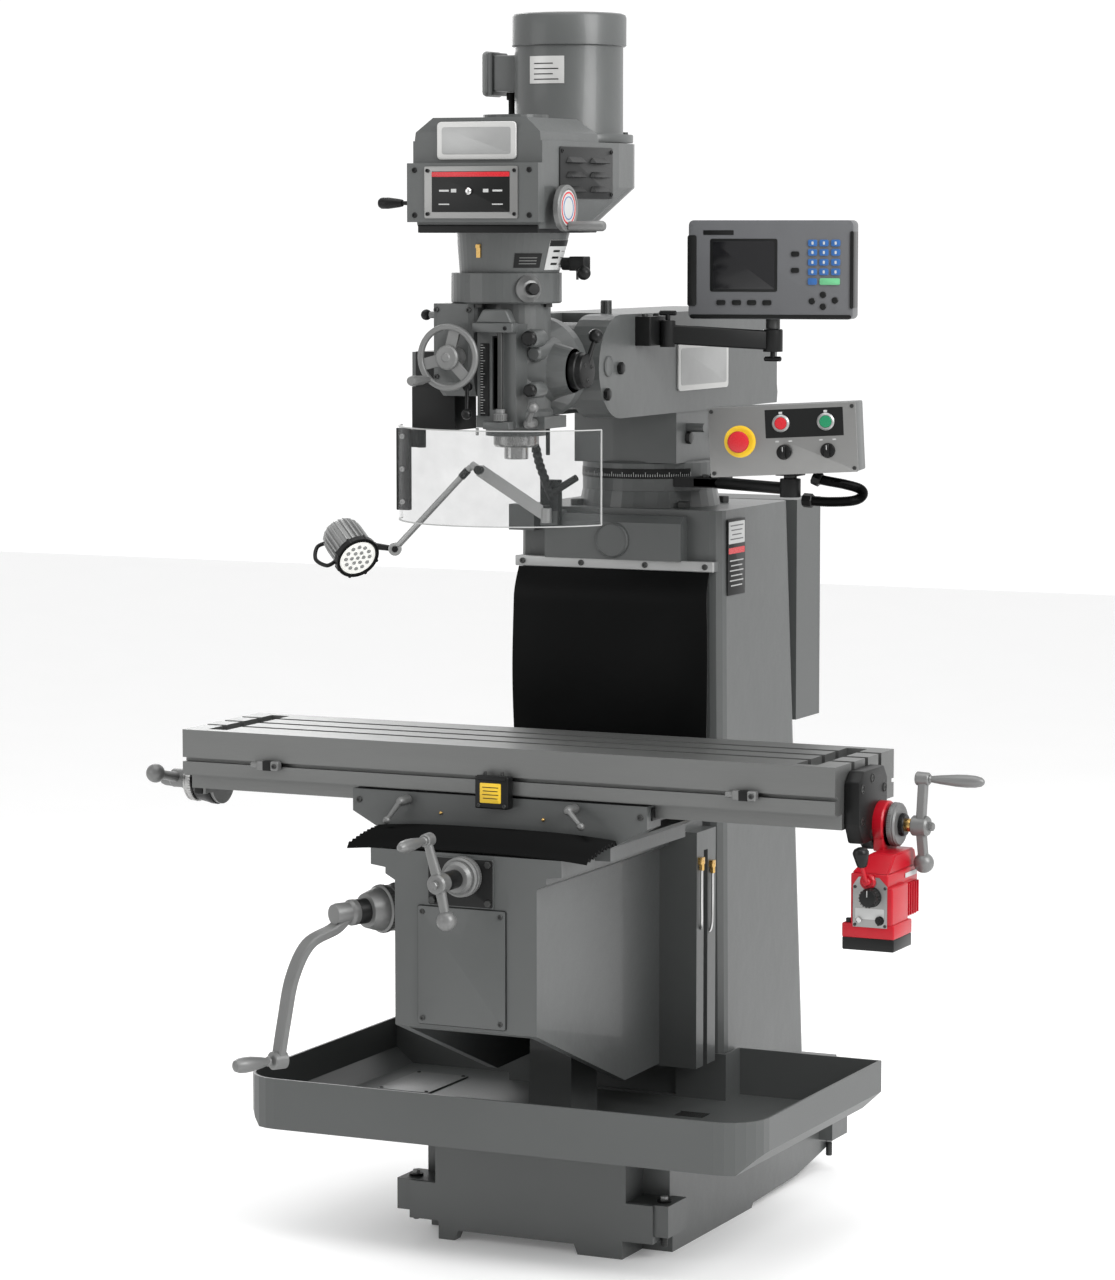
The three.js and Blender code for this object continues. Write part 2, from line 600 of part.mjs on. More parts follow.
const conduit = new THREE.CatmullRomCurve3([
  V(440, 440, 1492), V(462, 441, 1488), V(500, 442, 1482), V(530, 440, 1474), V(536, 436, 1462),
  V(518, 434, 1452), V(470, 436, 1448), V(426, 438, 1449),
]);
part('pendant_conduit', RUBBER, new THREE.ExtrudeGeometry(
  outline(arc(0, 0, 10, 0, 315, 7)), { extrudePath: conduit, steps: 26, bevelEnabled: false }));

// ---------- head ----------
function headCasting() {
  const body = fuse(
    turned([[0, 1588], [58, 1588], [58, 1603], [71, 1603.5], [71, 1634], [66, 1640], [66, NECK.low - GAP],
      [0, NECK.low - GAP]], 0, 0, 36),
    bar(V(0, 10, TILT_Z), V(0, 85 - GAP, TILT_Z), 76, 98, 40),
    box(-34, 46, -97, 0, 1606, 1800),
    loft([
      { z: 1664, points: roundedRectangle(-118, -40, -84, 20, 14, 2) },
      { z: 1690, points: roundedRectangle(-132, -40, -96, 34, 14, 2) },
      { z: NECK.low - GAP, points: roundedRectangle(-132, -40, -96, 34, 14, 2) },
    ]),
    bar(V(40, 22, 1711), V(112, 22, 1711), 62, 42, 28),
    box(-62, 84, -45, 45, 1603.5, 1626),
    box(40, 84, -52, -40, 1603.5, 1626),
    box(-34, 48, -118, -90, 1786, 1802),
    box(-12, 40, -118, -90, 1606, 1618),
    bar(V(20, -110, 1612), V(20, -110, 1795), 5, 5, 12),
    box(-186, -60, -30, 30, 1700, 1742),
    box(-190, -120, -60, 30, 1600, 1745),
  );
  return carve(
    body,
    bar(V(0, 0, 1500), V(0, 0, 1900), QUILL_R + 0.4, QUILL_R + 0.4, 32),
    box(-3, 9, -105, -30, 1640, 1778),
  );
}
part('head_casting', PAINT, headCasting());

part('gear_housing', PAINT, carve(
  fuse(
    turned([[0, NECK.low], [RING.r - 3, NECK.low], [RING.r, NECK.low + 3], [RING.r, NECK.mid], [0, NECK.mid]],
      RING.x, 0, 48),
    loft([
      { z: NECK.mid - 2, points: arc(-14, 0, 94, 0, 352.5, 47) },
      { z: NECK.high - GAP, points: arc(-6, 0, 107, 0, 352.5, 47) },
    ]),
  ),
  bar(V(0, 0, 1800), V(0, 0, 2000), 30),
));

// Plan of the belt housing: square front, round rear about the motor axis.
function housingPlan(x, y0, rearY, r) {
  return [[-x, y0], [x, y0], [x, rearY - 60], ...arc(0, rearY, r, 0, 180, 16), [-x, rearY - 60]];
}
function beltHousing() {
  const plan = (inset, rear) => housingPlan(133 - inset, -165 + inset, rear, 127 - inset);
  const shell = fuse(
    loft([
      { z: NECK.high, points: housingPlan(122, -160, 100, 98) },
      { z: 1986, points: housingPlan(126, -163, 110, 104) },
      { z: 2056, points: plan(0, MOTOR.y) },
      { z: 2140, points: plan(0, MOTOR.y) },
    ]),
    loft([
      { z: 2138, points: rectangle(130, -165, 92) },
      { z: 2156, points: rectangle(128, -164, 88) },
      { z: 2183, points: rectangle(96, -156, 66) },
    ]),
    box(-135, 135, -187, -160, 1990, 2099),
    turned([[0, 2180], [62, 2180], [62, 2191], [0, 2191]], 0, 0, 32),
  );
  return carve(
    shell,
    loft([
      { z: 1996, points: housingPlan(108, -140, 150, 92) },
      { z: 2046, points: plan(14, MOTOR.y) },
      { z: 2126, points: plan(14, MOTOR.y) },
    ]),
    bar(V(0, 0, 1950), V(0, 0, 2020), 30),
    bar(V(0, MOTOR.y, 2120), V(0, MOTOR.y, 2150), 30),
  );
}
part('belt_housing', PAINT, beltHousing());

part('motor', PAINT, carve(
  fuse(
    turned([
      [0, MOTOR.low], [124, MOTOR.low], [124, MOTOR.low + 16], [MOTOR.r, MOTOR.low + 18], [MOTOR.r, 2329],
      [MOTOR.cap, 2329.5], [MOTOR.cap, MOTOR.high - 5], [MOTOR.cap - 6, MOTOR.high], [0, MOTOR.high]],
    0, MOTOR.y, 40),
    box(-172, -95, MOTOR.y - 38, MOTOR.y + 38, 2232, 2320),
  ),
  bar(V(0, MOTOR.y, 2100), V(0, MOTOR.y, 2200), 17),
));
part('motor_pulley', STEEL, turned(
  [[0, 2052], [46, 2052], [58, 2062], [30, 2074], [58, 2086], [46, 2096], [15, 2100], [15, 2190], [0, 2190]],
  0, MOTOR.y, 24));
part('spindle_pulley', STEEL, turned(
  [[15.5, 2050], [70, 2050], [88, 2062], [36, 2074], [88, 2086], [70, 2098], [24, 2104], [24, 2112],
    [15.5, 2112],
    [15.5, 2050]], 0, 0, 28));

part('quill', STEEL, carve(
  turned([[0, 1566], [38, 1566], [QUILL_R, 1572], [QUILL_R, 1834], [0, 1834]], 0, 0, 32),
  bar(V(0, 0, 1500), V(0, 0, 1900), 22.5),
));
part('spindle', STEEL, turned(
  [[0, 1610], [11, 1610], [16, 1543], [23, 1543], [23, 1565.6], [21.8, 1566.2], [21.8, 1830],
    [14, 1834], [14, 2112],
    [0, 2112]], 0, 0, 28));

// Fine feed handwheel on the front of the feed gearbox, shaft along Y.
function handwheel() {
  const at = V(-76, -136, 1738);
  const rim = new THREE.TorusGeometry(57, 6, 8, 28).rotateX(Math.PI / 2).translate(at.x, at.y, at.z);
  const spokes = [70, 190, 310].map((deg) => {
    const a = THREE.MathUtils.degToRad(deg);
    return bar(at, V(at.x + 56 * Math.cos(a), at.y, at.z + 56 * Math.sin(a)), 8, 6, 8);
  });
  return fuse(
    rim,
    ...spokes,
    bar(V(at.x, -97, at.z), V(at.x, -146, at.z), 18, 16, 20),
    bar(V(-116, at.y, 1696), V(-116, -160, 1696), 6, 6, 10),
    bar(V(-116, -156, 1696), V(-116, -212, 1696), 9, 10, 12),
  );
}
part('feed_wheel', SATIN, handwheel());
part('quill_lever', BLACK, fuse(
  bar(V(112.5, 22, 1711), V(140, 22, 1711), 35, 33, 24),
  bar(V(132, 22, 1711), V(144, 43, 1770), 6, 5, 10),
  ball(V(145, 45, 1776), 12, 12),
));
part('quill_lock', SATIN, clampLever(62, -52 - GAP, 1614, 2.6, 36, 34));
part('trip_lever', BLACK, fuse(
  bar(V(-52, -97, 1682), V(-52, -108, 1682), 7, 7, 12),
  bar(V(-52, -104, 1682), V(-44, -122, 1636), 4, 4, 10),
  ball(V(-44, -123, 1632), 9, 10),
));
part('engage_knob', SATIN, fuse(
  bar(V(-132.5, -40, 1815), V(-166, -40, 1815), 6, 6, 10),
  ball(V(-170, -40, 1815), 10, 12),
));
part('range_lever', BLACK, fuse(
  bar(V(89, 20, 1912), V(139, 20, 1912), 12, 12, 14),
  bar(V(133, 20, 1912), V(142, -2, 1897), 6, 5, 10),
  ball(V(143, -4, 1895), 12, 12),
));
const rateAxis = V(Math.cos(RATE_ANGLE), Math.sin(RATE_ANGLE), 0);
const rateAt = (out) => V(RING.x, 0, 1866).addScaledVector(rateAxis, RING.r + out);
part('feed_rate_knob', SATIN, fuse(
  bar(rateAt(0.5), rateAt(15), 24, 22, 24),
  bar(rateAt(14), rateAt(33), 11, 11, 16),
));
part('brake_lever', BLACK, fuse(
  bar(V(-133.5, -56, 2026), V(-146, -56, 2026), 9, 9, 12),
  bar(V(-140, -56, 2026), V(-212, -56, 2026), 4, 4, 10),
  bar(V(-210, -56, 2026), V(-262, -56, 2026), 7, 11, 14),
));
part('speed_wheel', SATIN, fuse(
  bar(V(133.5, -104, 2016), V(146, -104, 2016), 14, 14, 16),
  bar(V(144, -104, 2016), V(160, -104, 2016), 43, 40, 32),
  bar(V(156, -104, 1982), V(232, -104, 1982), 7, 9, 14),
));
part('depth_nut', SATIN, carve(
  bar(V(20, -110, 1620), V(20, -110, 1642), 12.6, 12.6, 20),
  bar(V(20, -110, 1600), V(20, -110, 1660), 5.5, 5.5, 12),
));

// Clear guard: a thin curved sheet hung from a hinge strip at its left edge.
function shieldSheet() {
  const bend = 232;
  const centre = [-22, 62];
  return fuse(
    prismZ([
      ...arc(centre[0], centre[1], bend, 195, 337, 20),
      ...arc(centre[0], centre[1], bend - 3, 337, 195, 20),
    ], 1424, 1604),
    box(-252, -226, -6, 4, 1440, 1596),
    bar(V(-206, 8, 1560), V(-206, 8, 1594), 9),
    box(-244, -206, 2, 14, 1560, 1594),
  );
}
part('guard_shield', CLEAR, shieldSheet());

// ---------- lamp ----------
const LAMP = {
  foot: V(-131, 412, 1405), elbow: V(-240, 330, 1498), tip: V(-256, 330, 1507),
  knuckle: V(-424, 318, 1335), lens: V(-492, 288, 1315), axis: V(0.707, -0.501, -0.498).normalize(),
};
part('lamp_arm_lower', SATIN, fuse(
  bar(V(LAMP.foot.x, LAMP.foot.y, 1390), V(LAMP.foot.x, LAMP.foot.y, 1420), LAMP_PIVOT_R, LAMP_PIVOT_R, 16),
  bar(LAMP.foot, LAMP.elbow, 9, 9, 12),
  bar(LAMP.elbow, LAMP.tip, 8, 8, 12),
));
const lampUpper = LAMP.knuckle.clone().sub(LAMP.tip).normalize();
part('lamp_arm_upper', SATIN, fuse(
  bar(LAMP.tip.clone().addScaledVector(lampUpper, 13), LAMP.knuckle, 7, 7, 12),
  ball(LAMP.knuckle, 13, 12),
));
const lampAt = (back) => LAMP.lens.clone().addScaledVector(LAMP.axis, -back);
const lampLug = LAMP.knuckle.clone().sub(lampAt(10)).normalize();
part('lamp_head', SATIN, fuse(
  bar(lampAt(107), lampAt(14), 42, 42, 28),
  bar(lampAt(15), lampAt(0), 46, 46, 28),
  bar(lampAt(10), LAMP.knuckle.clone().addScaledVector(lampLug, -13 - GAP), 7, 7, 12),
));

machine.position.set(-ORIGIN_X, -ORIGIN_Y, 0);
machine.updateMatrixWorld(true);

export default machine;
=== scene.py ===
# Vertical turret milling machine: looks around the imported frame, in metres.
# Lengths in the calls below are millimetres in the machine's layout: X = 0 is the centre plane,
# Y = 0 the spindle axis and Z = 0 the floor.
import math
import bmesh
import bpy
from mathutils import Matrix, Vector


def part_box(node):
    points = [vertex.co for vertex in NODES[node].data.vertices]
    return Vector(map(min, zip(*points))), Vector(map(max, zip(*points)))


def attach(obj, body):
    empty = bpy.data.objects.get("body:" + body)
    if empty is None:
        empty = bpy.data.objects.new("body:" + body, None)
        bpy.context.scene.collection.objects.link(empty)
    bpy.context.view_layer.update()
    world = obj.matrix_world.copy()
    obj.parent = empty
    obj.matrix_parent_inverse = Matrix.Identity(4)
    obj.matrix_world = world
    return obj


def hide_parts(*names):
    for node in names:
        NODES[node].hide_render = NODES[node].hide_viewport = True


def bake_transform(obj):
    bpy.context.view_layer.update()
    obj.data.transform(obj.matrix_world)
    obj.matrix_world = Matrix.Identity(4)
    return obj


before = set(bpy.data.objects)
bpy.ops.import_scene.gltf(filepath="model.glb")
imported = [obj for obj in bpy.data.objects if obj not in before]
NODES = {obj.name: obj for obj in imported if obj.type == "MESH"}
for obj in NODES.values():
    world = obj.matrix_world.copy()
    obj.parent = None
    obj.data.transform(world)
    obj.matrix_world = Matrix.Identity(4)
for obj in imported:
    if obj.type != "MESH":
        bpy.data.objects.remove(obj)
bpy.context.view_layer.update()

MM = 0.001
_low, _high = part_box("spindle")
AXIS = (_low + _high) / 2
X, Y, Z = Vector((1, 0, 0)), Vector((0, 1, 0)), Vector((0, 0, 1))


def at(x, y, z):
    return Vector((AXIS.x + x * MM, AXIS.y + y * MM, z * MM))


# ---------------------------------------------------------------- camera, light, floor
def aim(obj, target):
    obj.rotation_euler = (target - obj.location).to_track_quat("-Z", "Y").to_euler()


cam_data = bpy.data.cameras.new("camera")
cam_data.lens = 116.75
cam_data.sensor_width = 36
cam_data.clip_end = 60
camera = bpy.data.objects.new("camera", cam_data)
bpy.context.scene.collection.objects.link(camera)
camera.location = at(3412, -7099, 1989)
AZ, EL = math.radians(25.1), math.radians(5.74)
look = Vector((-math.sin(AZ) * math.cos(EL), math.cos(AZ) * math.cos(EL), -math.sin(EL)))
camera.rotation_euler = look.to_track_quat("-Z", "Y").to_euler()
bpy.context.scene.camera = camera


def area_light(name, location, target, size, power, colour=(1, 1, 1)):
    data = bpy.data.lights.new(name, "AREA")
    data.shape = "RECTANGLE"
    data.size, data.size_y = size
    data.energy = power
    data.color = colour
    obj = bpy.data.objects.new(name, data)
    bpy.context.scene.collection.objects.link(obj)
    obj.location = location
    aim(obj, target)
    return obj


middle = at(0, 200, 1200)
area_light("key", at(4200, -1200, 3600), middle, (2.2, 3.0), 190)
area_light("fill", at(-3600, -4200, 2600), middle, (3.0, 3.0), 45)
area_light("top", at(0, -600, 4600), middle, (3.2, 3.2), 60)
area_light("rim", at(-3200, 3600, 3200), middle, (2.0, 3.0), 60)

world = bpy.data.worlds.new("studio")
bpy.context.scene.world = world
world.use_nodes = True
sky = world.node_tree
sky_ways = sky.nodes.new("ShaderNodeTexCoord")
sky_split = sky.nodes.new("ShaderNodeSeparateXYZ")
sky_shade = sky.nodes.new("ShaderNodeMapRange")
for name, value in (("From Min", -0.5), ("From Max", 0.6), ("To Min", 0.62), ("To Max", 1.08)):
    sky_shade.inputs[name].default_value = value
sky.links.new(sky_ways.outputs["Generated"], sky_split.inputs["Vector"])
sky.links.new(sky_split.outputs["Y"], sky_shade.inputs["Value"])
sky.links.new(sky_shade.outputs["Result"], sky.nodes["Background"].inputs["Strength"])
sky.nodes["Background"].inputs["Color"].default_value = (1, 1, 1, 1)
bpy.context.scene.view_settings.view_transform = "Standard"


# ---------------------------------------------------------------- materials
def new_material(name):
    mat = bpy.data.materials.new(name)
    mat.use_nodes = True
    return mat, mat.node_tree, mat.node_tree.nodes["Principled BSDF"]


def noise_texture(tree, coords, scale, detail=3.0, roughness=0.5, stretch=(1, 1, 1)):
    mapping = tree.nodes.new("ShaderNodeMapping")
    mapping.inputs["Scale"].default_value = stretch
    tree.links.new(coords.outputs["Object"], mapping.inputs["Vector"])
    tex = tree.nodes.new("ShaderNodeTexNoise")
    tex.inputs["Scale"].default_value = scale
    tex.inputs["Detail"].default_value = detail
    tex.inputs["Roughness"].default_value = roughness
    tree.links.new(mapping.outputs["Vector"], tex.inputs["Vector"])
    return tex


def remap(tree, value, low, high, out_low, out_high):
    node = tree.nodes.new("ShaderNodeMapRange")
    node.inputs["From Min"].default_value = low
    node.inputs["From Max"].default_value = high
    node.inputs["To Min"].default_value = out_low
    node.inputs["To Max"].default_value = out_high
    tree.links.new(value, node.inputs["Value"])
    return node.outputs["Result"]


def surface(name, colour, metallic=0.0, rough=0.5, rough_spread=0.05, mottle=0.04, mottle_scale=9.0,
            grain=(600.0, 0.00006), swell=None, stretch=(1, 1, 1), coat=0.0, specular=0.5):
    """A procedural finish: uneven colour, uneven gloss, a fine grain and a slow swell, at real scale."""
    mat, tree, bsdf = new_material(name)
    coords = tree.nodes.new("ShaderNodeTexCoord")
    bsdf.inputs["Metallic"].default_value = metallic
    bsdf.inputs["Specular IOR Level"].default_value = specular
    bsdf.inputs["Coat Weight"].default_value = coat
    clouds = noise_texture(tree, coords, mottle_scale, 4.0, 0.55, stretch)
    mix = tree.nodes.new("ShaderNodeMix")
    mix.data_type = "RGBA"
    mix.inputs["A"].default_value = tuple(c * (1 - mottle) for c in colour) + (1,)
    mix.inputs["B"].default_value = tuple(min(1, c * (1 + mottle)) for c in colour) + (1,)
    tree.links.new(remap(tree, clouds.outputs["Fac"], 0.3, 0.7, 0, 1), mix.inputs["Factor"])
    tree.links.new(mix.outputs["Result"], bsdf.inputs["Base Color"])
    fine = noise_texture(tree, coords, grain[0], 2.0, 0.6, stretch)
    tree.links.new(
        remap(tree, fine.outputs["Fac"], 0.2, 0.8, rough - rough_spread, rough + rough_spread),
        bsdf.inputs["Roughness"],
    )
    bump = tree.nodes.new("ShaderNodeBump")
    bump.inputs["Strength"].default_value = 1.0
    bump.inputs["Distance"].default_value = grain[1]
    tree.links.new(fine.outputs["Fac"], bump.inputs["Height"])
    last = bump
    if swell:
        slow = noise_texture(tree, coords, swell[0], 2.0, 0.5)
        wave = tree.nodes.new("ShaderNodeBump")
        wave.inputs["Strength"].default_value = 1.0
        wave.inputs["Distance"].default_value = swell[1]
        tree.links.new(slow.outputs["Fac"], wave.inputs["Height"])
        tree.links.new(bump.outputs["Normal"], wave.inputs["Normal"])
        last = wave
    tree.links.new(last.outputs["Normal"], bsdf.inputs["Normal"])
    return mat


PAINT = surface("casting_paint", (0.070, 0.074, 0.073), 0.0, 0.40, 0.05, 0.035, 7, (380, 0.00012),
                (16, 0.0012), (1, 1, 1), 0.12)
SHEET_PAINT = surface("sheet_paint", (0.072, 0.076, 0.075), 0.0, 0.42, 0.04, 0.02, 5, (420, 0.00008))
GROUND = surface("ground_steel", (0.16, 0.163, 0.16), 0.75, 0.42, 0.07, 0.05, 14, (420, 0.00005), None,
                 (0.06, 1, 1))
DARK_STEEL = surface("dark_steel", (0.05, 0.051, 0.05), 0.7, 0.42, 0.06, 0.05, 14, (420, 0.00005), None,
                     (0.06, 1, 1))
TURNED = surface("turned_steel", (0.36, 0.36, 0.355), 0.9, 0.28, 0.05, 0.03, 20, (700, 0.00002), None,
                 (1, 1, 0.08))
SATIN = surface("satin_alloy", (0.17, 0.172, 0.17), 0.45, 0.42, 0.05, 0.03, 25, (900, 0.00004))
BRIGHT = surface("bright_alloy", (0.33, 0.333, 0.33), 0.5, 0.36, 0.05, 0.03, 25, (900, 0.00004))
PLATE = surface("bright_plate", (0.50, 0.50, 0.49), 0.35, 0.38, 0.05, 0.03, 20, (900, 0.00003), None,
                (0.05, 1, 1))
DARK_PAINT = surface("dark_paint", (0.012, 0.0125, 0.0125), 0.0, 0.42, 0.05, 0.03, 9, (420, 0.00008), None,
                     (1, 1, 1), 0, 0.3)
BRUSHED = surface("brushed_plate", (0.27, 0.27, 0.265), 0.85, 0.36, 0.06, 0.03, 20, (900, 0.00003), None,
                  (0.05, 1, 1))
BLACK_PAINT = surface("black_paint", (0.006, 0.0063, 0.0063), 0.0, 0.40, 0.05, 0.1, 12, (500, 0.00008),
                      None, (1, 1, 1), 0, 0.22)
BLACK_PLASTIC = surface("black_plastic", (0.0055, 0.0058, 0.0058), 0.0, 0.34, 0.05, 0.1, 25,
                        (1200, 0.00004), None, (1, 1, 1), 0, 0.25)
RUBBER = surface("black_rubber", (0.0028, 0.0030, 0.0030), 0.0, 0.36, 0.06, 0.12, 10, (900, 0.00005), None,
                 (1, 1, 1), 0, 0.07)
RED_PAINT = surface("red_paint", (0.40, 0.003, 0.012), 0.0, 0.34, 0.04, 0.04, 20, (500, 0.00006), None,
                    (1, 1, 1), 0.1, 0.3)
RED_PLASTIC = surface("red_plastic", (0.50, 0.010, 0.018), 0.0, 0.28, 0.04, 0.04, 30, (1200, 0.00003))
GREEN_PLASTIC = surface("green_plastic", (0.006, 0.20, 0.085), 0.0, 0.28, 0.04, 0.04, 30, (1200, 0.00003))
YELLOW = surface("yellow_plate", (0.80, 0.52, 0.02), 0.0, 0.4, 0.04, 0.03, 30, (900, 0.00003))
WHITE = surface("white_enamel", (0.45, 0.455, 0.45), 0.0, 0.42, 0.04, 0.02, 20, (900, 0.00002))
BRASS = surface("brass", (0.62, 0.40, 0.14), 0.95, 0.26, 0.05, 0.06, 30, (900, 0.00003))
GREY_PLASTIC = surface("grey_plastic", (0.090, 0.092, 0.097), 0.0, 0.45, 0.05, 0.03, 20, (1300, 0.00006))
COVER_GREY = surface("cover_grey", (0.155, 0.16, 0.158), 0.0, 0.42, 0.04, 0.02, 5, (420, 0.00008))
LIGHT_PLASTIC = surface("light_plastic", (0.36, 0.365, 0.36), 0.0, 0.4, 0.04, 0.03, 20, (1300, 0.00003))
BLUE_PLASTIC = surface("blue_plastic", (0.02, 0.10, 0.30), 0.0, 0.35, 0.04, 0.04, 20, (1300, 0.00003))
OLIVE = surface("key_green", (0.12, 0.42, 0.20), 0.0, 0.35, 0.04, 0.04, 20, (1300, 0.00003))
SCREEN = surface("screen_glass", (0.006, 0.006, 0.007), 0.0, 0.14, 0.03, 0.05, 20, (900, 0.00001))
CHROME = surface("chrome", (0.52, 0.52, 0.515), 1.0, 0.14, 0.04, 0.02, 20, (900, 0.00001))


def glowing(name, colour, strength):
    mat = surface(name, colour, 0, 0.3)
    bsdf = mat.node_tree.nodes["Principled BSDF"]
    bsdf.inputs["Emission Color"].default_value = tuple(colour) + (1,)
    bsdf.inputs["Emission Strength"].default_value = strength
    return mat


LENS = glowing("lamp_lens", (0.9, 0.9, 0.86), 0.4)


def clear_plastic():
    mat, tree, bsdf = new_material("clear_plastic")
    coords = tree.nodes.new("ShaderNodeTexCoord")
    smudge = noise_texture(tree, coords, 18, 4, 0.6)
    tree.links.new(remap(tree, smudge.outputs["Fac"], 0.3, 0.8, 0.06, 0.16), bsdf.inputs["Roughness"])
    tree.links.new(remap(tree, smudge.outputs["Fac"], 0.3, 0.7, 0.13, 0.18), bsdf.inputs["Alpha"])
    bsdf.inputs["Base Color"].default_value = (0.06, 0.065, 0.065, 1)
    return mat


CLEAR = clear_plastic()


# ---------------------------------------------------------------- mesh helpers
class Shape:
    """One mesh object under construction, in frame metres."""

    def __init__(self, name, body, material, slot):
        self.name, self.body, self.materials, self.slot = name, body, [material], slot
        self.bm = bmesh.new()
        self.index = 0

    def use(self, material):
        if material not in self.materials:
            self.materials.append(material)
        self.index = self.materials.index(material)
        return self

    def take(self, other):
        """Moves a bmesh piece into this one."""
        for face in other.faces:
            face.material_index = self.index
            face.smooth = True
        mesh = bpy.data.meshes.new("piece")
        other.to_mesh(mesh)
        other.free()
        self.bm.from_mesh(mesh)
        bpy.data.meshes.remove(mesh)
        return self

    def done(self, replaces=(), angle=32):
        mesh = bpy.data.meshes.new(self.name)
        bmesh.ops.recalc_face_normals(self.bm, faces=self.bm.faces)
        self.bm.to_mesh(mesh)
        self.bm.free()
        for material in self.materials:
            mesh.materials.append(material)
        obj = bpy.data.objects.new(self.name, mesh)
        bpy.context.scene.collection.objects.link(obj)
        mesh.set_sharp_from_angle(angle=math.radians(angle))
        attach(obj, self.body)
        if replaces:
            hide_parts(*replaces)
        return obj

    # --- shapes
    def block(self, x0, x1, y0, y1, z0, z1, bevel=1.5, segments=3, turn=None, pivot=None):
        bm = bmesh.new()
        bmesh.ops.create_cube(bm, size=1)
        low, high = at(x0, y0, z0), at(x1, y1, z1)
        size, mid = high - low, (low + high) / 2
        bmesh.ops.transform(bm, matrix=Matrix.Translation(mid) @ Matrix.Diagonal((*size, 1)),
                            verts=bm.verts)
        if bevel:
            bmesh.ops.bevel(bm, geom=bm.edges[:], offset=bevel * MM, segments=segments, profile=0.5,
                            affect="EDGES")
        if turn:
            place = Matrix.Translation(pivot) @ turn @ Matrix.Translation(-pivot)
            bmesh.ops.transform(bm, matrix=place, verts=bm.verts)
        return self.take(bm)

    def prism(self, outline, origin, u, v, depth, bevel=1.0, segments=2):
        """Extrudes an outline of (a, b) millimetres in the plane of u and v through origin, along u x v."""
        bm = bmesh.new()
        n = u.cross(v).normalized()
        ring = [bm.verts.new(origin + u * a * MM + v * b * MM) for a, b in outline]
        face = bm.faces.new(ring)
        result = bmesh.ops.extrude_face_region(bm, geom=[face])
        moved = [g for g in result["geom"] if isinstance(g, bmesh.types.BMVert)]
        bmesh.ops.translate(bm, verts=moved, vec=n * depth * MM)
        if bevel:
            bmesh.ops.bevel(bm, geom=bm.edges[:], offset=bevel * MM, segments=segments, profile=0.5,
                            affect="EDGES",
                            clamp_overlap=True)
        return self.take(bm)

    def turned(self, profile, origin, axis, sides=48):
        """A body of revolution: profile is (radius, distance along the axis) in millimetres."""
        bm = bmesh.new()
        turn = Vector((0, 0, 1)).rotation_difference(axis.normalized()).to_matrix()
        rings = []
        for r, t in profile:
            if r <= 0:
                rings.append([bm.verts.new(origin + turn @ Vector((0, 0, t * MM)))])
                continue
            ring = []
            for k in range(sides):
                a = 2 * math.pi * k / sides
                ring.append(bm.verts.new(origin + turn @ Vector((r * math.cos(a) * MM, r * math.sin(a) * MM,
                        t * MM))))
            rings.append(ring)
        for one, two in zip(rings, rings[1:]):
            for k in range(sides):
                quad = [one[k % len(one)], one[(k + 1) % len(one)], two[(k + 1) % len(two)],
                        two[k % len(two)]]
                unique = list(dict.fromkeys(quad))
                if len(unique) > 2:
                    bm.faces.new(unique)
        return self.take(bm)

    def rod(self, a, b, r, r2=None, edge=0.8, sides=32):
        r2 = r if r2 is None else r2
        length = (b - a).length / MM
        e = min(edge, length / 3, r / 2, r2 / 2)
        return self.turned([(0, 0), (r - e, 0), (r, e), (r2, length - e), (r2 - e, length), (0, length)], a,
                           b - a, sides)

    def ball(self, centre, r, sides=32):
        steps = sides // 2
        profile = [(r * math.sin(math.pi * k / steps),
                    -r * math.cos(math.pi * k / steps)) for k in range(steps + 1)]
        profile[0], profile[-1] = (0, -r), (0, r)
        return self.turned(profile, centre, Z, sides)

    def sweep(self, points, section, up=None, closed_section=True):
        """Carries a section of (side, up) millimetres along points in frame metres."""
        bm = bmesh.new()
        rings = []
        guide = up or Z
        for k, p in enumerate(points):
            before = points[max(k - 1, 0)]
            after = points[min(k + 1, len(points) - 1)]
            along = (after - before).normalized()
            side = along.cross(guide)
            if side.length < 1e-4:
                side = along.cross(X)
            side.normalize()
            over = side.cross(along).normalized()
            guide = over if up is None else up
            rings.append([bm.verts.new(p + side * a * MM + over * b * MM) for a, b in section])
        n = len(section)
        for one, two in zip(rings, rings[1:]):
            for k in range(n):
                bm.faces.new([one[k], one[(k + 1) % n], two[(k + 1) % n], two[k]])
        bm.faces.new(rings[0])
        bm.faces.new(list(reversed(rings[-1])))
        return self.take(bm)

    def screw(self, head, direction, r=5.0, h=4.0):
        """A socket cap screw head that stands on a face at head, pointing along direction."""
        hexagon = r * 0.52
        self.turned([(0, h * 0.35), (hexagon, h * 0.35), (hexagon, h), (r - 0.6, h), (r, h - 0.7), (r,
                -0.5), (0, -0.5)],
                    head, direction, 18)
        return self


def circle(r, n=12):
    return [(r * math.cos(2 * math.pi * k / n), r * math.sin(2 * math.pi * k / n)) for k in range(n)]


def rounded(w, h, r, steps=4):
    """Outline of a rounded rectangle about the origin."""
    points = []
    for cx, cy, start in ((w / 2 - r, h / 2 - r, 0), (-w / 2 + r, h / 2 - r, 90),
                          (-w / 2 + r, -h / 2 + r, 180),
                          (w / 2 - r, -h / 2 + r, 270)):
        for k in range(steps + 1):
            a = math.radians(start + 90 * k / steps)
            points.append((cx + r * math.cos(a), cy + r * math.sin(a)))
    return points


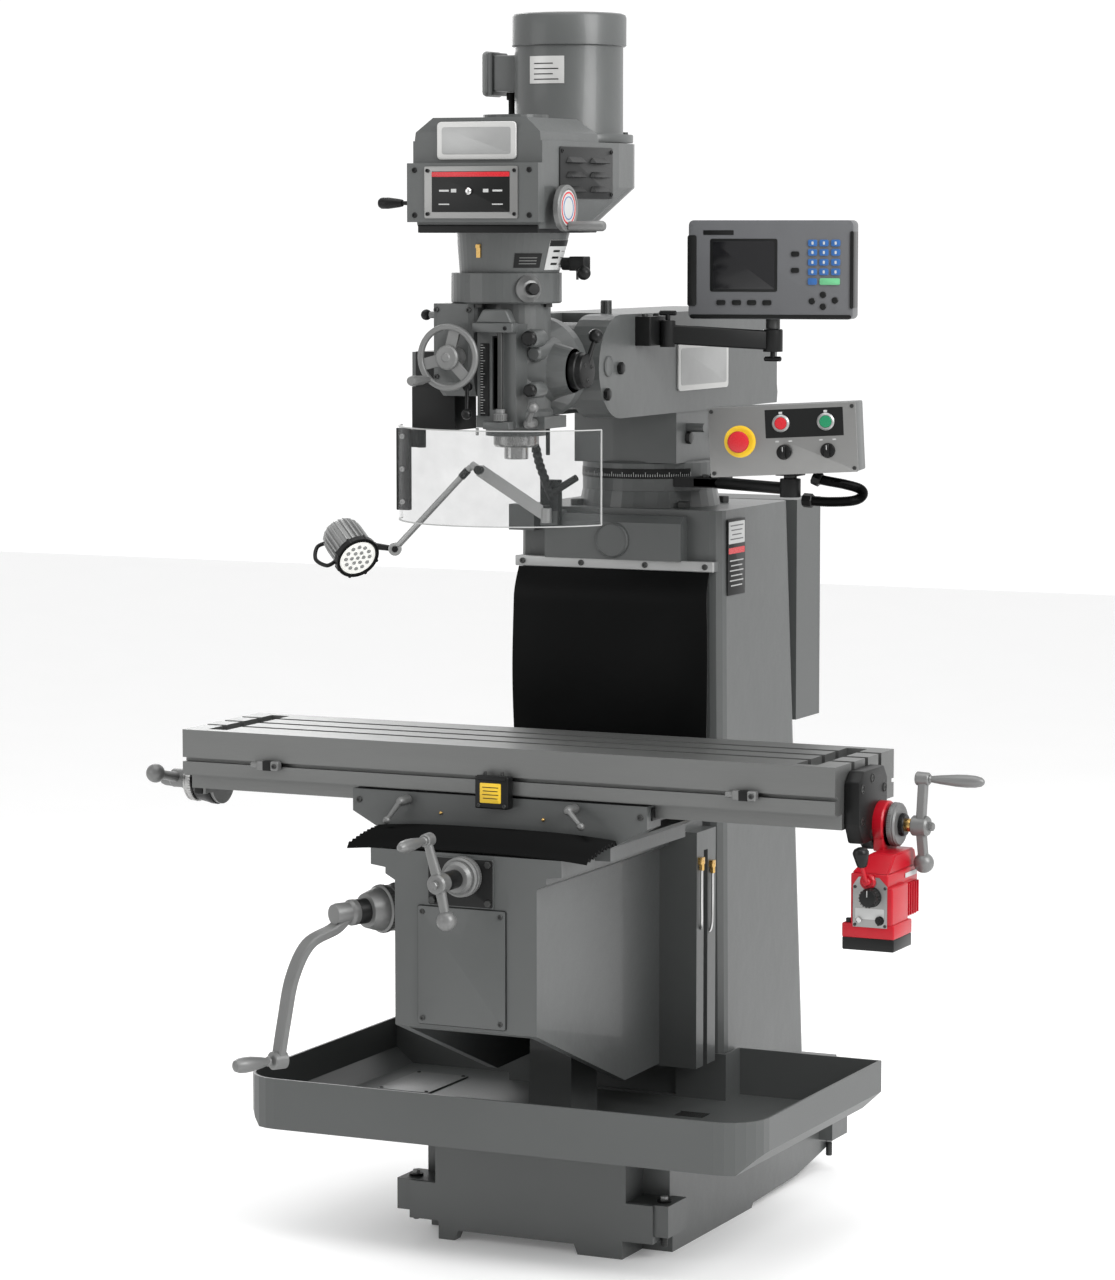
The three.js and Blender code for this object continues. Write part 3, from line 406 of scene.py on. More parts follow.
def smooth_path(points, steps=8):
    """Catmull-Rom points through the given ones."""
    out = []
    for k in range(len(points) - 1):
        p0, p1 = points[max(k - 1, 0)], points[k]
        p2, p3 = points[k + 1], points[min(k + 2, len(points) - 1)]
        for i in range(steps):
            t = i / steps
            out.append(0.5 * ((2 * p1) + (p2 - p0) * t + (2 * p0 - 5 * p1 + 4 * p2 - p3) * t * t
                              + (3 * p1 - p0 - 3 * p2 + p3) * t * t * t))
    out.append(points[-1])
    return out


# ---------------------------------------------------------------- finishes on the CAD nodes
FINISH = {
    PAINT: ["base_casting", "column_casting", "screw_pedestal", "knee_casting", "saddle_casting",
            "turret_block",
            "ram_casting", "knuckle", "head_casting", "gear_housing", "belt_housing", "motor"],
    SHEET_PAINT: ["chip_tray", "cabinet_box", "cabinet_door"],
    GROUND: ["table_casting", "pendant_box"],
    TURNED: ["elevating_screw", "table_screw", "motor_pulley", "spindle_pulley", "quill", "spindle"],
    SATIN: ["lift_crank", "lift_crank_grip", "cross_crank", "table_lock_left", "table_lock_right",
            "saddle_lock_lever",
            "stop_dog_left", "stop_dog_right", "right_crank", "feed_wheel", "quill_lock", "engage_knob",
            "feed_rate_knob", "speed_wheel", "depth_nut", "lamp_arm_lower", "lamp_arm_upper", "lamp_head"],
    BLACK_PAINT: ["pendant_arm", "readout_arm"],
    BLACK_PLASTIC: ["feed_lever", "feed_speed_knob", "selector_left", "selector_right", "quill_lever",
                    "trip_lever",
                    "range_lever", "brake_lever"],
    RUBBER: ["way_cover_sheet", "front_bellows", "pendant_conduit"],
    RED_PAINT: ["feed_drive"],
    RED_PLASTIC: ["stop_button", "off_button"],
    GREEN_PLASTIC: ["start_button"],
    CLEAR: ["guard_shield"],
    GREY_PLASTIC: ["readout_display"],
}
BEVELS = {"column_casting": 4, "base_casting": 5, "knee_casting": 3, "saddle_casting": 2.5,
          "turret_block": 3,
          "ram_casting": 2.5, "knuckle": 3, "head_casting": 2.5, "gear_housing": 2.5,
          "belt_housing": 5, "motor": 2,
          "table_casting": 1, "cabinet_box": 2, "cabinet_door": 2, "chip_tray": 0.8, "screw_pedestal": 3,
          "pendant_box": 2.5, "readout_display": 4}
for material, names in FINISH.items():
    for name in names:
        node = NODES[name]
        node.data.materials.clear()
        node.data.materials.append(material)
        node.data.shade_smooth()
        node.data.set_sharp_from_angle(angle=math.radians(28))
        if name in BEVELS:
            bevel = node.modifiers.new("edge", "BEVEL")
            bevel.width = BEVELS[name] * MM
            bevel.segments = 2
            bevel.limit_method = "ANGLE"
            bevel.angle_limit = math.radians(32)
            bevel.harden_normals = False

# ---------------------------------------------------------------- motor and belt housing
MOTOR_Y = 237
motor = Shape("motor_detail", "head", PAINT, "casting_paint")
foot = at(0, MOTOR_Y, 0)
motor.turned([(0, 2142.3), (124, 2142.3), (124.5, 2144), (124.5, 2156), (123, 2158), (106, 2158.5), (105,
        2160),
              (105, 2326), (108.5, 2326.5), (111, 2328.5), (111.2, 2382), (109, 2387), (103, 2389.5), (60,
                      2389.8),
              (0, 2389.8)], foot, Z, 96)
motor.block(-150, -92, MOTOR_Y - 30, MOTOR_Y + 30, 2242, 2312, 4)
motor.block(-158, -148, MOTOR_Y - 35, MOTOR_Y + 35, 2235, 2318, 2)
motor.use(COVER_GREY).block(-172, -156, MOTOR_Y - 37, MOTOR_Y + 37, 2233, 2320, 9, 4)
motor.use(DARK_STEEL)
for s in (-1, 1):
    for z in (2240, 2313):
        motor.screw(at(-160, MOTOR_Y + s * 31, z), -X, 4, 7)
for angle in (45, 135, 225, 315):
    a = math.radians(angle)
    motor.screw(at(115 * math.cos(a), MOTOR_Y + 115 * math.sin(a), 2158), Z, 7, 6)
motor.use(RUBBER).rod(at(-118, MOTOR_Y - 8, 2241), at(-118, MOTOR_Y - 8, 2226), 11)
motor.sweep(smooth_path([at(-118, MOTOR_Y - 8, 2228), at(-117, MOTOR_Y - 10, 2200), at(-112, MOTOR_Y - 26,
        2168),
                         at(-106, MOTOR_Y - 34, 2140)]), circle(7.5, 16))
motor.done(["motor"], 40)

plate = Shape("motor_plate", "head", PLATE, None)
strip = []
for k in range(13):
    a = math.radians(-110 + 40 * k / 12)
    strip.append(at(105.3 * math.cos(a), MOTOR_Y + 105.3 * math.sin(a), 2280))
plate.sweep(strip, [(-0.5, -26), (0.6, -26), (0.6, 26), (-0.5, 26)], Z)
plate.use(BLACK_PLASTIC)
for row, z in enumerate((2292, 2282, 2272, 2262)):
    line = []
    for k in range(7):
        a = math.radians(-104 + (28 if row % 2 else 22) * k / 6)
        line.append(at(106 * math.cos(a), MOTOR_Y + 106 * math.sin(a), z))
    plate.sweep(line, [(-0.4, -1), (0.4, -1), (0.4, 1), (-0.4, 1)], Z)
plate.done()

panel = Shape("speed_panel", "head", BRUSHED, None)
panel.prism(rounded(192, 96, 3), at(-1.5, -187, 2045), X, Z, 3.0, 0.8)
panel.use(BLACK_PLASTIC).prism(rounded(160, 75, 1.5), at(-1.5, -189.8, 2046), X, Z, 1.2, 0.4)
panel.use(RED_PLASTIC).prism(rounded(160, 9, 1), at(-1.5, -190.8, 2078), X, Z, 0.6, 0.2)
panel.use(CHROME).turned([(0, 8), (4, 7.4), (6.5, 5), (7, 0), (0, 0)], at(-4, -190.8, 2047), -Y, 28)
panel.use(WHITE)
for x in (-62, 48):
    panel.prism(rounded(20, 3.4, 0.6, 1), at(x + 6, -191, 2048), X, Z, 0.5, 0)
    panel.prism(rounded(22, 2.2, 0.6, 1), at(x + 6, -191, 2023), X, Z, 0.5, 0)
for x in (-36, 30):
    panel.prism(rounded(11, 6.5, 0.6, 1), at(x, -191, 2048), X, Z, 0.3, 0)
panel.use(BLACK_PAINT)
for x in (-91, 88):
    for z in (2005, 2085):
        panel.screw(at(x, -190, z), -Y, 3.6, 2.4)
for x in (-119, 117):
    for z in (2003, 2086):
        panel.screw(at(x, -187, z), -Y, 5.2, 2.0)
panel.done()

badge = Shape("front_plate", "head", PLATE, None)
badge.prism(rounded(163, 70, 8), at(0, -164.5, 2140), X, Z, 5, 2.0, 3)
badge.use(BRIGHT).prism(rounded(142, 50, 5), at(0, -169.2, 2140), X, Z, 0.8, 0.4)
badge.done()

skirt = Shape("housing_skirt", "head", BLACK_PAINT, None)
skirt.block(-124, 124, -165, 96, 1970.4, 1985, 1.5)
skirt.done()

louvre = Shape("louvre_plate", "head", DARK_PAINT, None)
louvre.prism(rounded(236, 96, 5), at(132.5, 26, 2082), Y, Z, 3.0, 0.8)
for y in (-28, 78):
    for row in range(3):
        z = 2113 - 27 * row
        hood = [at(135.4, y - 40, z - 13), at(135.4, y - 30, z - 1), at(135.4, y + 30, z - 1),
                at(135.4, y + 40, z - 13)]
        bm = bmesh.new()
        base = [bm.verts.new(p) for p in hood]
        out_a = bm.verts.new(at(147, y - 33, z - 13))
        out_b = bm.verts.new(at(147, y + 33, z - 13))
        bm.faces.new([base[0], out_a, base[1]])
        bm.faces.new([out_a, out_b, base[2], base[1]])
        bm.faces.new([out_b, base[3], base[2]])
        bm.faces.new([base[0], base[3], out_b, out_a])
        bm.faces.new([base[0], base[1], base[2], base[3]])
        bmesh.ops.bevel(bm, geom=bm.edges[:], offset=1.2 * MM, segments=2, affect="EDGES",
                        clamp_overlap=True)
        louvre.take(bm)
louvre.use(BLACK_PAINT)
for y in (-84, 136):
    for z in (2042, 2122):
        louvre.screw(at(135.5, y, z), X, 4.0, 2.5)
louvre.done()

wheel = Shape("speed_wheel_detail", "speed_wheel", SATIN, "satin_alloy")
hub = at(133.6, -104, 2016)
wheel.turned([(0, 0), (13, 0), (14, 1), (14, 8), (24, 10), (41, 11), (43, 13), (43, 22), (41, 24.5), (36,
        25), (35, 23.5),
              (0, 23.5)], hub, X, 64)
wheel.use(WHITE).turned([(0, 24.2), (33, 24.2), (33, 23.2), (0, 23.2)], hub, X, 48)
wheel.use(RED_PLASTIC).turned([(27, 24.2), (27, 24.8), (30, 24.8), (30, 24.2)], hub, X, 48)
wheel.use(BLUE_PLASTIC).turned([(20, 24.2), (20, 24.8), (21.5, 24.8), (21.5, 24.2)], hub, X, 48)
wheel.use(SATIN).turned([(0, 20), (6, 20), (6, 26), (8.5, 27), (9, 40), (10, 70), (9.6, 94), (7, 98), (0,
        98.4)],
                        at(133.6, -104, 1983), X, 32)
wheel.done(["speed_wheel"])

brake = Shape("brake_lever_detail", "brake_lever", BLACK_PAINT, "black_plastic")
brake.turned([(0, 0), (9, 0), (9.4, 1), (9.4, 11), (7, 13), (4, 14), (4, 76), (6.6, 78), (8, 84), (11, 108),
              (11, 122), (8, 127),
              (0, 128.4)], at(-133.6, -56, 2026), -X, 32)
brake.done(["brake_lever"])

# ---------------------------------------------------------------- neck and feed controls on the gear housing
trim = Shape("gear_housing_trim", "head", BRASS, None)


def neck_at(angle, z, out):
    """A point off the tapered neck, an angle in degrees round it and a height in millimetres."""
    t = (z - 1895) / 75
    r = 94 + 13 * t + out
    return at(-14 + 8 * t + r * math.cos(math.radians(angle)), r * math.sin(math.radians(angle)), z)


def neck_patch(angle, half, z0, z1, low=-0.5, high=1.2, steps=10):
    bm = bmesh.new()
    rings = []
    for k in range(steps + 1):
        a = angle - half + 2 * half * k / steps
        rings.append([bm.verts.new(neck_at(a, z, out)) for z, out in ((z0, low), (z0, high), (z1, high),
                (z1, low))])
    for one, two in zip(rings, rings[1:]):
        for j in range(4):
            bm.faces.new([one[j], two[j], two[(j + 1) % 4], one[(j + 1) % 4]])
    bm.faces.new(rings[0])
    bm.faces.new(list(reversed(rings[-1])))
    return bm


trim.take(neck_patch(-101, 2.6, 1924, 1949, -0.5, 3))
trim.take(neck_patch(-101, 2.6, 1942, 1948, 2, 5))
trim.use(BLACK_PAINT).take(neck_patch(-45, 15.5, 1905, 1932, -0.5, 1.6))
trim.use(SATIN)
for z in (1912, 1917.5, 1923):
    trim.take(neck_patch(-45, 10, z, z + 1.4, 1.4, 1.9))
trim.use(WHITE).take(neck_patch(-2, 20, 1901, 1957, -0.5, 1.4))
trim.use(BLACK_PAINT).take(neck_patch(-2, 19.6, 1945, 1956.5, 1.3, 1.8))
for z in (1934, 1922, 1910):
    trim.take(neck_patch(-8, 6, z, z + 4, 1.3, 1.8))
    trim.take(neck_patch(8, 5, z + 1, z + 2.2, 1.3, 1.8))
trim.use(DARK_STEEL)
for angle in (-190, -98, -6, 82):
    a = math.radians(angle)
    trim.turned([(0, 0), (7, 0), (8, 1), (8, 7), (0, 7)],
                at(-20 + 92 * math.cos(a), 92 * math.sin(a), 1838), -Z, 6)
trim.done()

knob = Shape("feed_rate_detail", "feed_rate_knob", SATIN, "satin_alloy")
out = Vector((math.cos(math.radians(42)), -math.sin(math.radians(42)), 0))
side = Vector((-out.y, out.x, 0))
spot = at(-20, 0, 1866) + out * 0.1054
knob.turned([(0, 0), (25, 0), (25.4, 1), (25.4, 5), (22, 8), (16, 15.4), (14, 16), (0, 16)], spot, out, 48)
knob.use(BLACK_PLASTIC).turned([(0, 15), (11, 15), (11.5, 16), (11.5, 31), (10, 33.4), (0, 33.6)], spot,
                               out, 32)
knob.use(DARK_STEEL)
for a in (60, 180, 300):
    knob.screw(spot + side * (math.cos(math.radians(a)) * 0.019) + out * 0.0065
               + Z * (math.sin(math.radians(a)) * 0.019),
               out, 3, 1.2)
knob.done(["feed_rate_knob"])

range_lever = Shape("range_lever_detail", "range_lever", BLACK_PAINT, "black_plastic")
range_lever.rod(at(88.5, 20, 1912), at(112, 20, 1912), 12, 12, 1)
range_lever.block(108, 139, 4, 35, 1899, 1926, 2)
range_lever.rod(at(132, 14, 1910), at(141, -2, 1898), 5, 4.2)
range_lever.ball(at(143, -4, 1895), 13)
range_lever.use(DARK_STEEL).rod(at(114, 30, 1904), at(114, 30, 1882), 2.5)
range_lever.done(["range_lever"])

# ---------------------------------------------------------------- head casting trim
front = Shape("quill_scale", "head", BLACK_PAINT, None)
front.block(-27, -9, -99.5, -96, 1628, 1764, 0.5)
front.use(WHITE)
for k in range(27):
    long = 9 if k % 5 == 0 else 5
    front.block(-26, -26 + long, -100.0, -99.3, 1633 + k * 4.9, 1633.9 + k * 4.9, 0)
front.done()
slot = Shape("quill_stop_rack", "head", BLACK_PAINT, None)
slot.block(-2, 8, -93, -70, 1642, 1776, 0.5)
slot.use(DARK_STEEL)
for k in range(40):
    slot.rod(at(3, -93, 1646 + k * 3.2), at(3, -91, 1646 + k * 3.2), 4.5, 4.5, 0.3, 12)
slot.rod(at(20, -110, 1606), at(20, -110, 1798), 5.4, 5.4)
slot.use(PAINT).block(-35, 49, -119, -94, 1785, 1803, 2.5)
slot.prism([(-30, 0), (46, 0), (34, 26), (-14, 26)], at(0, -92, 1802), X, Z, 24, 4, 3)
slot.block(-13, 41, -119, -94, 1604, 1618.5, 2)
slot.use(BLACK_PAINT).screw(at(34, -119, 1793), -Y, 4, 2)
slot.done()
nut = Shape("depth_nut_detail", "depth_nut", SATIN, "satin_alloy")
nut.turned([(5.8, 0), (12.6, 0), (13, 1), (13, 13), (9, 14), (9, 22), (5.8, 22), (5.8, 0)],
           at(20, -110, 1620), Z, 40)
nut.use(DARK_STEEL)
for k in range(24):
    a = 2 * math.pi * k / 24
    p = at(20 + 12.9 * math.cos(a), -110 + 12.9 * math.sin(a), 1622)
    nut.rod(p, p + Z * 0.010, 0.5, 0.5, 0.1, 6)
nut.done(["depth_nut"])

body = Shape("head_trim", "head", PAINT, None)
# bosses on the right of the front pad
for x, z, r in ((70, 1774, 17), (72, 1677, 15)):
    body.use(PAINT).turned([(0, 0), (r, 0), (r, 34), (r - 3, 40), (0, 40)], at(x, -44, z), -Y, 32)
    body.use(BLACK_PLASTIC).turned([(0, 38), (r - 4, 38), (r - 3, 39), (r - 3, 50), (r - 6, 53), (0, 53)],
                                   at(x, -44, z), -Y, 32)
body.use(PAINT).turned([(0, 0), (74, 0), (72, 8), (60, 24), (50, 44), (43, 60), (42, 76), (0, 76)],
                       at(36, 22, 1711), X, 48)
body.rod(at(60, 40, 1752), at(60, -50, 1744), 22, 15, 4)
body.use(BLACK_PAINT)
body.block(-191, -99, -61, 31, 1597.5, 1679, 1.5)
body.block(-183, -116, -61, 31, 1678, 1746, 1.5)
body.use(DARK_STEEL)
for x, z in ((-120, 1826), (-52, 1826), (-120, 1700)):
    body.screw(at(x, -96, z), -Y, 5, 4)
body.use(CHROME).rod(at(-45, -76, 1590), at(-45, -76, 1604), 3)
body.use(BLACK_PAINT).rod(at(76, -20, 1553), at(76, -20, 1606), 4)
body.done()

wheel = Shape("feed_wheel_detail", "feed_wheel", SATIN, "satin_alloy")
centre = at(-76, -136, 1738)
for k in range(73):
    a = 2 * math.pi * k / 72
bm = bmesh.new()
rings = []
for k in range(72):
    a = 2 * math.pi * k / 72
    radial = Vector((math.cos(a), 0, math.sin(a)))
    rings.append([bm.verts.new(centre + radial * (0.057 + 0.0062 * math.cos(b)) + Y * 0.0062 * math.sin(b))
                  for b in (2 * math.pi * j / 16 for j in range(16))])
for k in range(72):
    for j in range(16):
        one, two = rings[k], rings[(k + 1) % 72]
        bm.faces.new([one[j], one[(j + 1) % 16], two[(j + 1) % 16], two[j]])
wheel.take(bm)
for degrees in (75, 195, 315):
    a = math.radians(degrees)
    radial = Vector((math.cos(a), 0, math.sin(a)))
    wheel.sweep([centre + radial * d * MM + Y * 0.002 for d in (12, 25, 40, 54)],
                [(-11, -3), (11, -3), (11, 3), (-11, 3)], Y)
wheel.turned([(0, -39.4), (18, -39.4), (18, -12), (23, -8), (23, 6), (20, 9), (9, 10), (7, 12), (0, 12)],
             centre, -Y, 40)
wheel.turned([(0, 2), (6, 2), (6, 26), (8.5, 28), (9, 50), (10, 70), (8, 76), (0, 76.2)],
             at(-116, -136, 1696), -Y, 28)
wheel.done(["feed_wheel"])

lever = Shape("quill_lever_detail", "quill_lever", BLACK_PAINT, "black_plastic")
lever.turned([(0, 0), (35, 0), (35.5, 1.5), (35.5, 12), (33, 14), (33, 25), (31, 27), (24, 28), (0, 28)],
             at(112.6, 22, 1711), X, 56)
lever.rod(at(134, 24, 1716), at(144, 43, 1770), 5.5, 4.5)
lever.use(BLACK_PLASTIC).ball(at(145, 45, 1776), 14)
lever.use(DARK_STEEL)
for k in range(3):
    a = 2 * math.pi * k / 3 + 0.4
    lever.screw(at(140, 22 + 18 * math.cos(a), 1711 + 18 * math.sin(a)), X, 4, 2)
lever.done(["quill_lever"])


def clamp_lever(name, node, body_name, x, y, z, angle, reach=42, out=38, ball_r=8.5, material=SATIN):
    s = Shape(name, body_name, material, "satin_alloy")
    s.turned([(0, 0), (9, 0), (9.5, 1), (9.5, out - 12), (8, out - 4), (5, out), (0, out + 1)], at(x, y, z),
             -Y, 28)
    tip = at(x + reach * math.sin(angle), y - out - 8, z - reach * math.cos(angle))
    s.rod(at(x, y - out + 7, z), tip, 6, 4)
    s.ball(tip, ball_r, 24)
    return s.done([node])


clamp_lever("quill_lock_detail", "quill_lock", "quill_lock", 62, -52.3, 1614, 2.6, 36, 34, 10)
trip = Shape("trip_lever_detail", "trip_lever", BLACK_PAINT, "black_plastic")
trip.rod(at(-52, -97, 1682), at(-52, -109, 1682), 8, 8)
trip.rod(at(-52, -104, 1684), at(-44, -122, 1636), 4, 3.4)
trip.use(BLACK_PLASTIC).ball(at(-44, -123, 1632), 10, 24)
trip.done(["trip_lever"])
engage = Shape("engage_knob_detail", "engage_knob", SATIN, "satin_alloy")
engage.turned([(0, 0), (6, 0), (6.5, 1), (6.5, 33), (0, 33)], at(-132.6, -40, 1815), -X, 28)
engage.use(BLACK_PLASTIC).ball(at(-170, -40, 1815), 10.5, 28)
engage.done(["engage_knob"])

nose = Shape("quill_nose", "quill", TURNED, "machined_steel")
nose.turned([(22.8, 1566), (38, 1566), (40, 1567), (43, 1571), (43, 1833), (22.8, 1833), (22.8, 1566)],
            at(0, 0, 0), Z, 72)
nose.done(["quill"])
spindle = Shape("spindle_nose", "spindle", CHROME, "machined_steel")
spindle.turned([(16, 1543), (22, 1543), (23, 1544), (23, 1565.4), (21.8, 1566.2), (21.8, 1830), (14, 1834),
                (14, 2112),
                (0, 2112), (0, 1610), (11, 1610), (16, 1543)], at(0, 0, 0), Z, 64)
spindle.done(["spindle"])

guard = Shape("guard_sheet", "guard_shield", CLEAR, "clear_plastic")
bend = []
for k in range(49):
    a = math.radians(195 + 142 * k / 48)
    bend.append(at(-22 + 230.5 * math.cos(a), 62 + 230.5 * math.sin(a), 1514))
guard.sweep(bend, [(-1.5, -90), (1.5, -90), (1.5, 90), (-1.5, 90)], Z)
guard.use(LIGHT_PLASTIC)
for low, high in ((-90.4, -88.2), (88.2, 90.4)):
    guard.sweep(bend, [(-1.8, low), (1.8, low), (1.8, high), (-1.8, high)], Z)
guard.rod(bend[-1] - Z * 0.0898, bend[-1] + Z * 0.0898, 1.9, 1.9, 0.5, 16)
guard.use(BLACK_PLASTIC).block(-253, -225, -7, 5, 1439, 1597, 1.5)
guard.block(-244, -206, 2, 14, 1560, 1594, 2)
guard.rod(at(-206, 8, 1559.5), at(-206, 8, 1594.5), 9.2, 9.2, 1)
guard.use(BRIGHT)
for z in (1455, 1518, 1581):
    guard.screw(at(-239, -7, z), -Y, 5, 3)
guard.done(["guard_shield"])


# ---------------------------------------------------------------- cranks
def outward(angle):
    a = math.radians(angle)
    return Vector((-math.sin(a), -math.cos(a), 0))


def lathe_grip(shape, foot, axis, length, r=12.0):
    """A turned hand grip that swells towards its free end."""
    return shape.turned([(0, -2), (r * 0.62, -2), (r * 0.62, 2), (r * 0.5, 4), (r * 0.55, 7), (r * 0.72,
            length * 0.22),
                         (r * 0.95, length * 0.5), (r, length * 0.68), (r * 0.93, length * 0.84), (r * 0.7,
                                 length * 0.95),
                         (r * 0.35, length * 0.995), (0, length)], foot, axis, 36)


def ball_crank(shape, hub, direction, spin, ball_arm, grip_arm, grip, flat=False):
    """A balanced crank: a ball on one arm and a turning grip on the other."""
    turn = Z.rotation_difference(direction).to_matrix() @ Matrix.Rotation(spin, 3, "Z")

    def place(x, y, z):
        return hub + turn @ (Vector((x, y, z)) * MM)

    shape.turned([(0, -16), (17, -16), (19, -14), (19, 12), (16, 16), (0, 17)], hub, direction, 40)
    shape.turned([(0, 16), (8, 16), (8, 24), (6.5, 26), (0, 26)], hub, direction, 6)
    steps = [(ball_arm, 1, 4), (grip_arm, -1, 8)]
    for reach, sign, rise in steps:
        tip = place(0, sign * reach, rise)
        if flat:
            side, over = turn @ X, turn @ Z
            shape.sweep([place(0, sign * reach * k / 6, rise * k / 6) for k in range(7)],
                        [(-10, -6), (-8.5, -7.5), (8.5, -7.5), (10, -6), (10, 6), (8.5, 7.5), (-8.5, 7.5),
                         (-10, 6)], over)
        else:
            shape.rod(place(0, 0, 0), tip, 11, 8)
    shape.ball(place(0, ball_arm, 4), 19, 40)
    shape.rod(place(0, -grip_arm, -6), place(0, -grip_arm, 20), 13, 12, 2)
    lathe_grip(shape, place(0, -grip_arm, 20), turn @ Z, grip + 6)
    return shape


def graduated_dial(shape, centre, axis, r, depth, rim, marks=50, ink=None):
    """A turned collar with a graduated rim; depth is along the axis from centre."""
    shape.turned([(0, 0), (r - 2, 0), (r, 1.5), (r, rim), (r - 1.2, rim + 0.8), (r - 1.2, rim + 2.4),
                  (r - 0.6, rim + 3),
                  (r - 0.6, depth - 3), (r - 4, depth), (0, depth)], centre, axis, 80)
    turn = Z.rotation_difference(axis.normalized()).to_matrix()
    shape.use(ink or DARK_STEEL)
    for k in range(marks):
        a = 2 * math.pi * k / marks
        radial = turn @ Vector((math.cos(a), math.sin(a), 0))
        side = turn @ Vector((-math.sin(a), math.cos(a), 0))
        long = rim * (0.72 if k % 5 == 0 else 0.42)
        shape.prism([(-0.35, 0), (0.35, 0), (0.35, long), (-0.35, long)],
                    centre + radial * (r - 0.05) * MM + axis * 1.2 * MM,
                    side, axis, 0.2, 0)
    return shape


LIFT_DIRECTION = outward(27)


def lift(t, up=0.0):
    return at(0, 210, 692 + up) + LIFT_DIRECTION * t * MM


crank = Shape("lift_crank_detail", "lift_crank", SATIN, "satin_alloy")
graduated_dial(crank, lift(414), LIFT_DIRECTION, 44, 18, 9, 60)
crank.use(SATIN).turned([(0, 430), (44, 430), (46, 432), (46, 440), (44, 442), (42, 443), (40, 452), (35,
        468), (33, 474), (24, 475),
                         (0, 475)], at(0, 210, 692), LIFT_DIRECTION, 64)
crank.use(DARK_STEEL)
for k in range(40):
    a = 2 * math.pi * k / 40
    turn = Z.rotation_difference(LIFT_DIRECTION).to_matrix()
    p = lift(432.5) + turn @ Vector((math.cos(a), math.sin(a), 0)) * 0.0459
    crank.rod(p, p + LIFT_DIRECTION * 0.007, 0.6, 0.6, 0.1, 6)
crank.use(BLACK_PAINT).turned([(0, 474), (23, 474), (24, 475), (24, 497), (22.5, 500), (20, 501), (0, 501)],
                              at(0, 210, 692),
                              LIFT_DIRECTION, 40)
crank.use(SATIN).turned([(0, 499), (24, 499), (25, 501), (25, 510), (21, 516), (21, 541), (19, 548), (0,
        549)], at(0, 210, 692),
                        LIFT_DIRECTION, 40)
crank.turned([(0, 300), (12, 300), (12, 414.5), (0, 414.5)], at(0, 210, 692), LIFT_DIRECTION, 24)
bend = [(515, 0), (545, -26), (606, -50), (643, -110), (662, -190), (676, -262)]
path = smooth_path([lift(t, up) for t, up in bend], 8)
across = Z.cross(LIFT_DIRECTION).normalized()
bm = bmesh.new()
rings = []
for k, p in enumerate(path):
    before, after = path[max(k - 1, 0)], path[min(k + 1, len(path) - 1)]
    along = (after - before).normalized()
    over = along.cross(across).normalized()
    w, h = 17 - 3 * k / len(path), 8
    ring = []
    for a, b in ((-w, -h + 3), (-w + 3, -h), (w - 3, -h), (w, -h + 3), (w, h - 3), (w - 3, h), (-w + 3, h),
                 (-w, h - 3)):
        ring.append(bm.verts.new(p + across * a * MM + over * b * MM))
    rings.append(ring)
for one, two in zip(rings, rings[1:]):
    for k in range(8):
        bm.faces.new([one[k], one[(k + 1) % 8], two[(k + 1) % 8], two[k]])
bm.faces.new(rings[0])
bm.faces.new(list(reversed(rings[-1])))
crank.take(bm)
crank.rod(lift(661, -262), lift(691, -262), 17.5, 17, 2)
crank.done(["lift_crank"])
grip = Shape("lift_grip_detail", "lift_crank_grip", SATIN, "satin_alloy")
lathe_grip(grip, lift(698, -262), LIFT_DIRECTION, 78, 15)
grip.done(["lift_crank_grip"])

cross = Shape("cross_crank_detail", "cross_crank", SATIN, "satin_alloy")
graduated_dial(cross, at(0, -227.2, 775), -Y, 38, 24, 12, 50)
cross.use(SATIN).turned([(0, 23), (30, 23), (31, 24.5), (31, 31), (29, 34), (26, 39), (20, 40), (0, 40)],
                        at(0, -227, 775), -Y, 56)
cross.use(BLACK_PAINT).turned([(0, 39), (17, 39), (17.5, 40), (17.5, 86), (16, 88), (0, 88)],
                              at(0, -227, 775), -Y, 40)
ball_crank(cross.use(SATIN), at(0, -330, 775), -Y, math.pi + 0.25, 70, 84, 92)
cross.done(["cross_crank"])

# ---------------------------------------------------------------- knee
trim = Shape("knee_plates", "knee", BLACK_PAINT, None)
trim.prism(rounded(134, 90, 4), at(-8, -224, 762), X, Z, 2.6, 0.6)
trim.use(DARK_STEEL)
for x, z in ((-66, 726), (50, 726), (-66, 799), (50, 799)):
    trim.turned([(0, -1), (6.5, -1), (7, 0), (7, 4.4), (6, 5), (0, 5)], at(x, -226.6, z), -Y, 6)
trim.use(PAINT).prism(rounded(182, 224, 4), at(-6.5, -223.6, 600.5), X, Z, 3.4, 1.2)
trim.use(BLACK_PAINT).prism(rounded(185, 227, 5), at(-6.5, -223.0, 600.5), X, Z, 1.2, 0.2)
trim.use(DARK_STEEL)
for x, z in ((-88, 499), (75, 499), (-88, 702), (75, 702)):
    trim.screw(at(x, -226.8, z), -Y, 5, 2.4)
trim.use(BLACK_PAINT).turned([(0, 0), (47, 0), (47, 6), (45, 8), (0, 8)], lift(396), LIFT_DIRECTION, 56)
trim.use(DARK_STEEL)
for k in range(3):
    a = 2 * math.pi * k / 3 + 0.6
    turn = Z.rotation_difference(LIFT_DIRECTION).to_matrix()
    trim.screw(lift(403.6) + turn @ Vector((math.cos(a), math.sin(a), 0)) * 0.039, LIFT_DIRECTION, 4, 3)
trim.done()

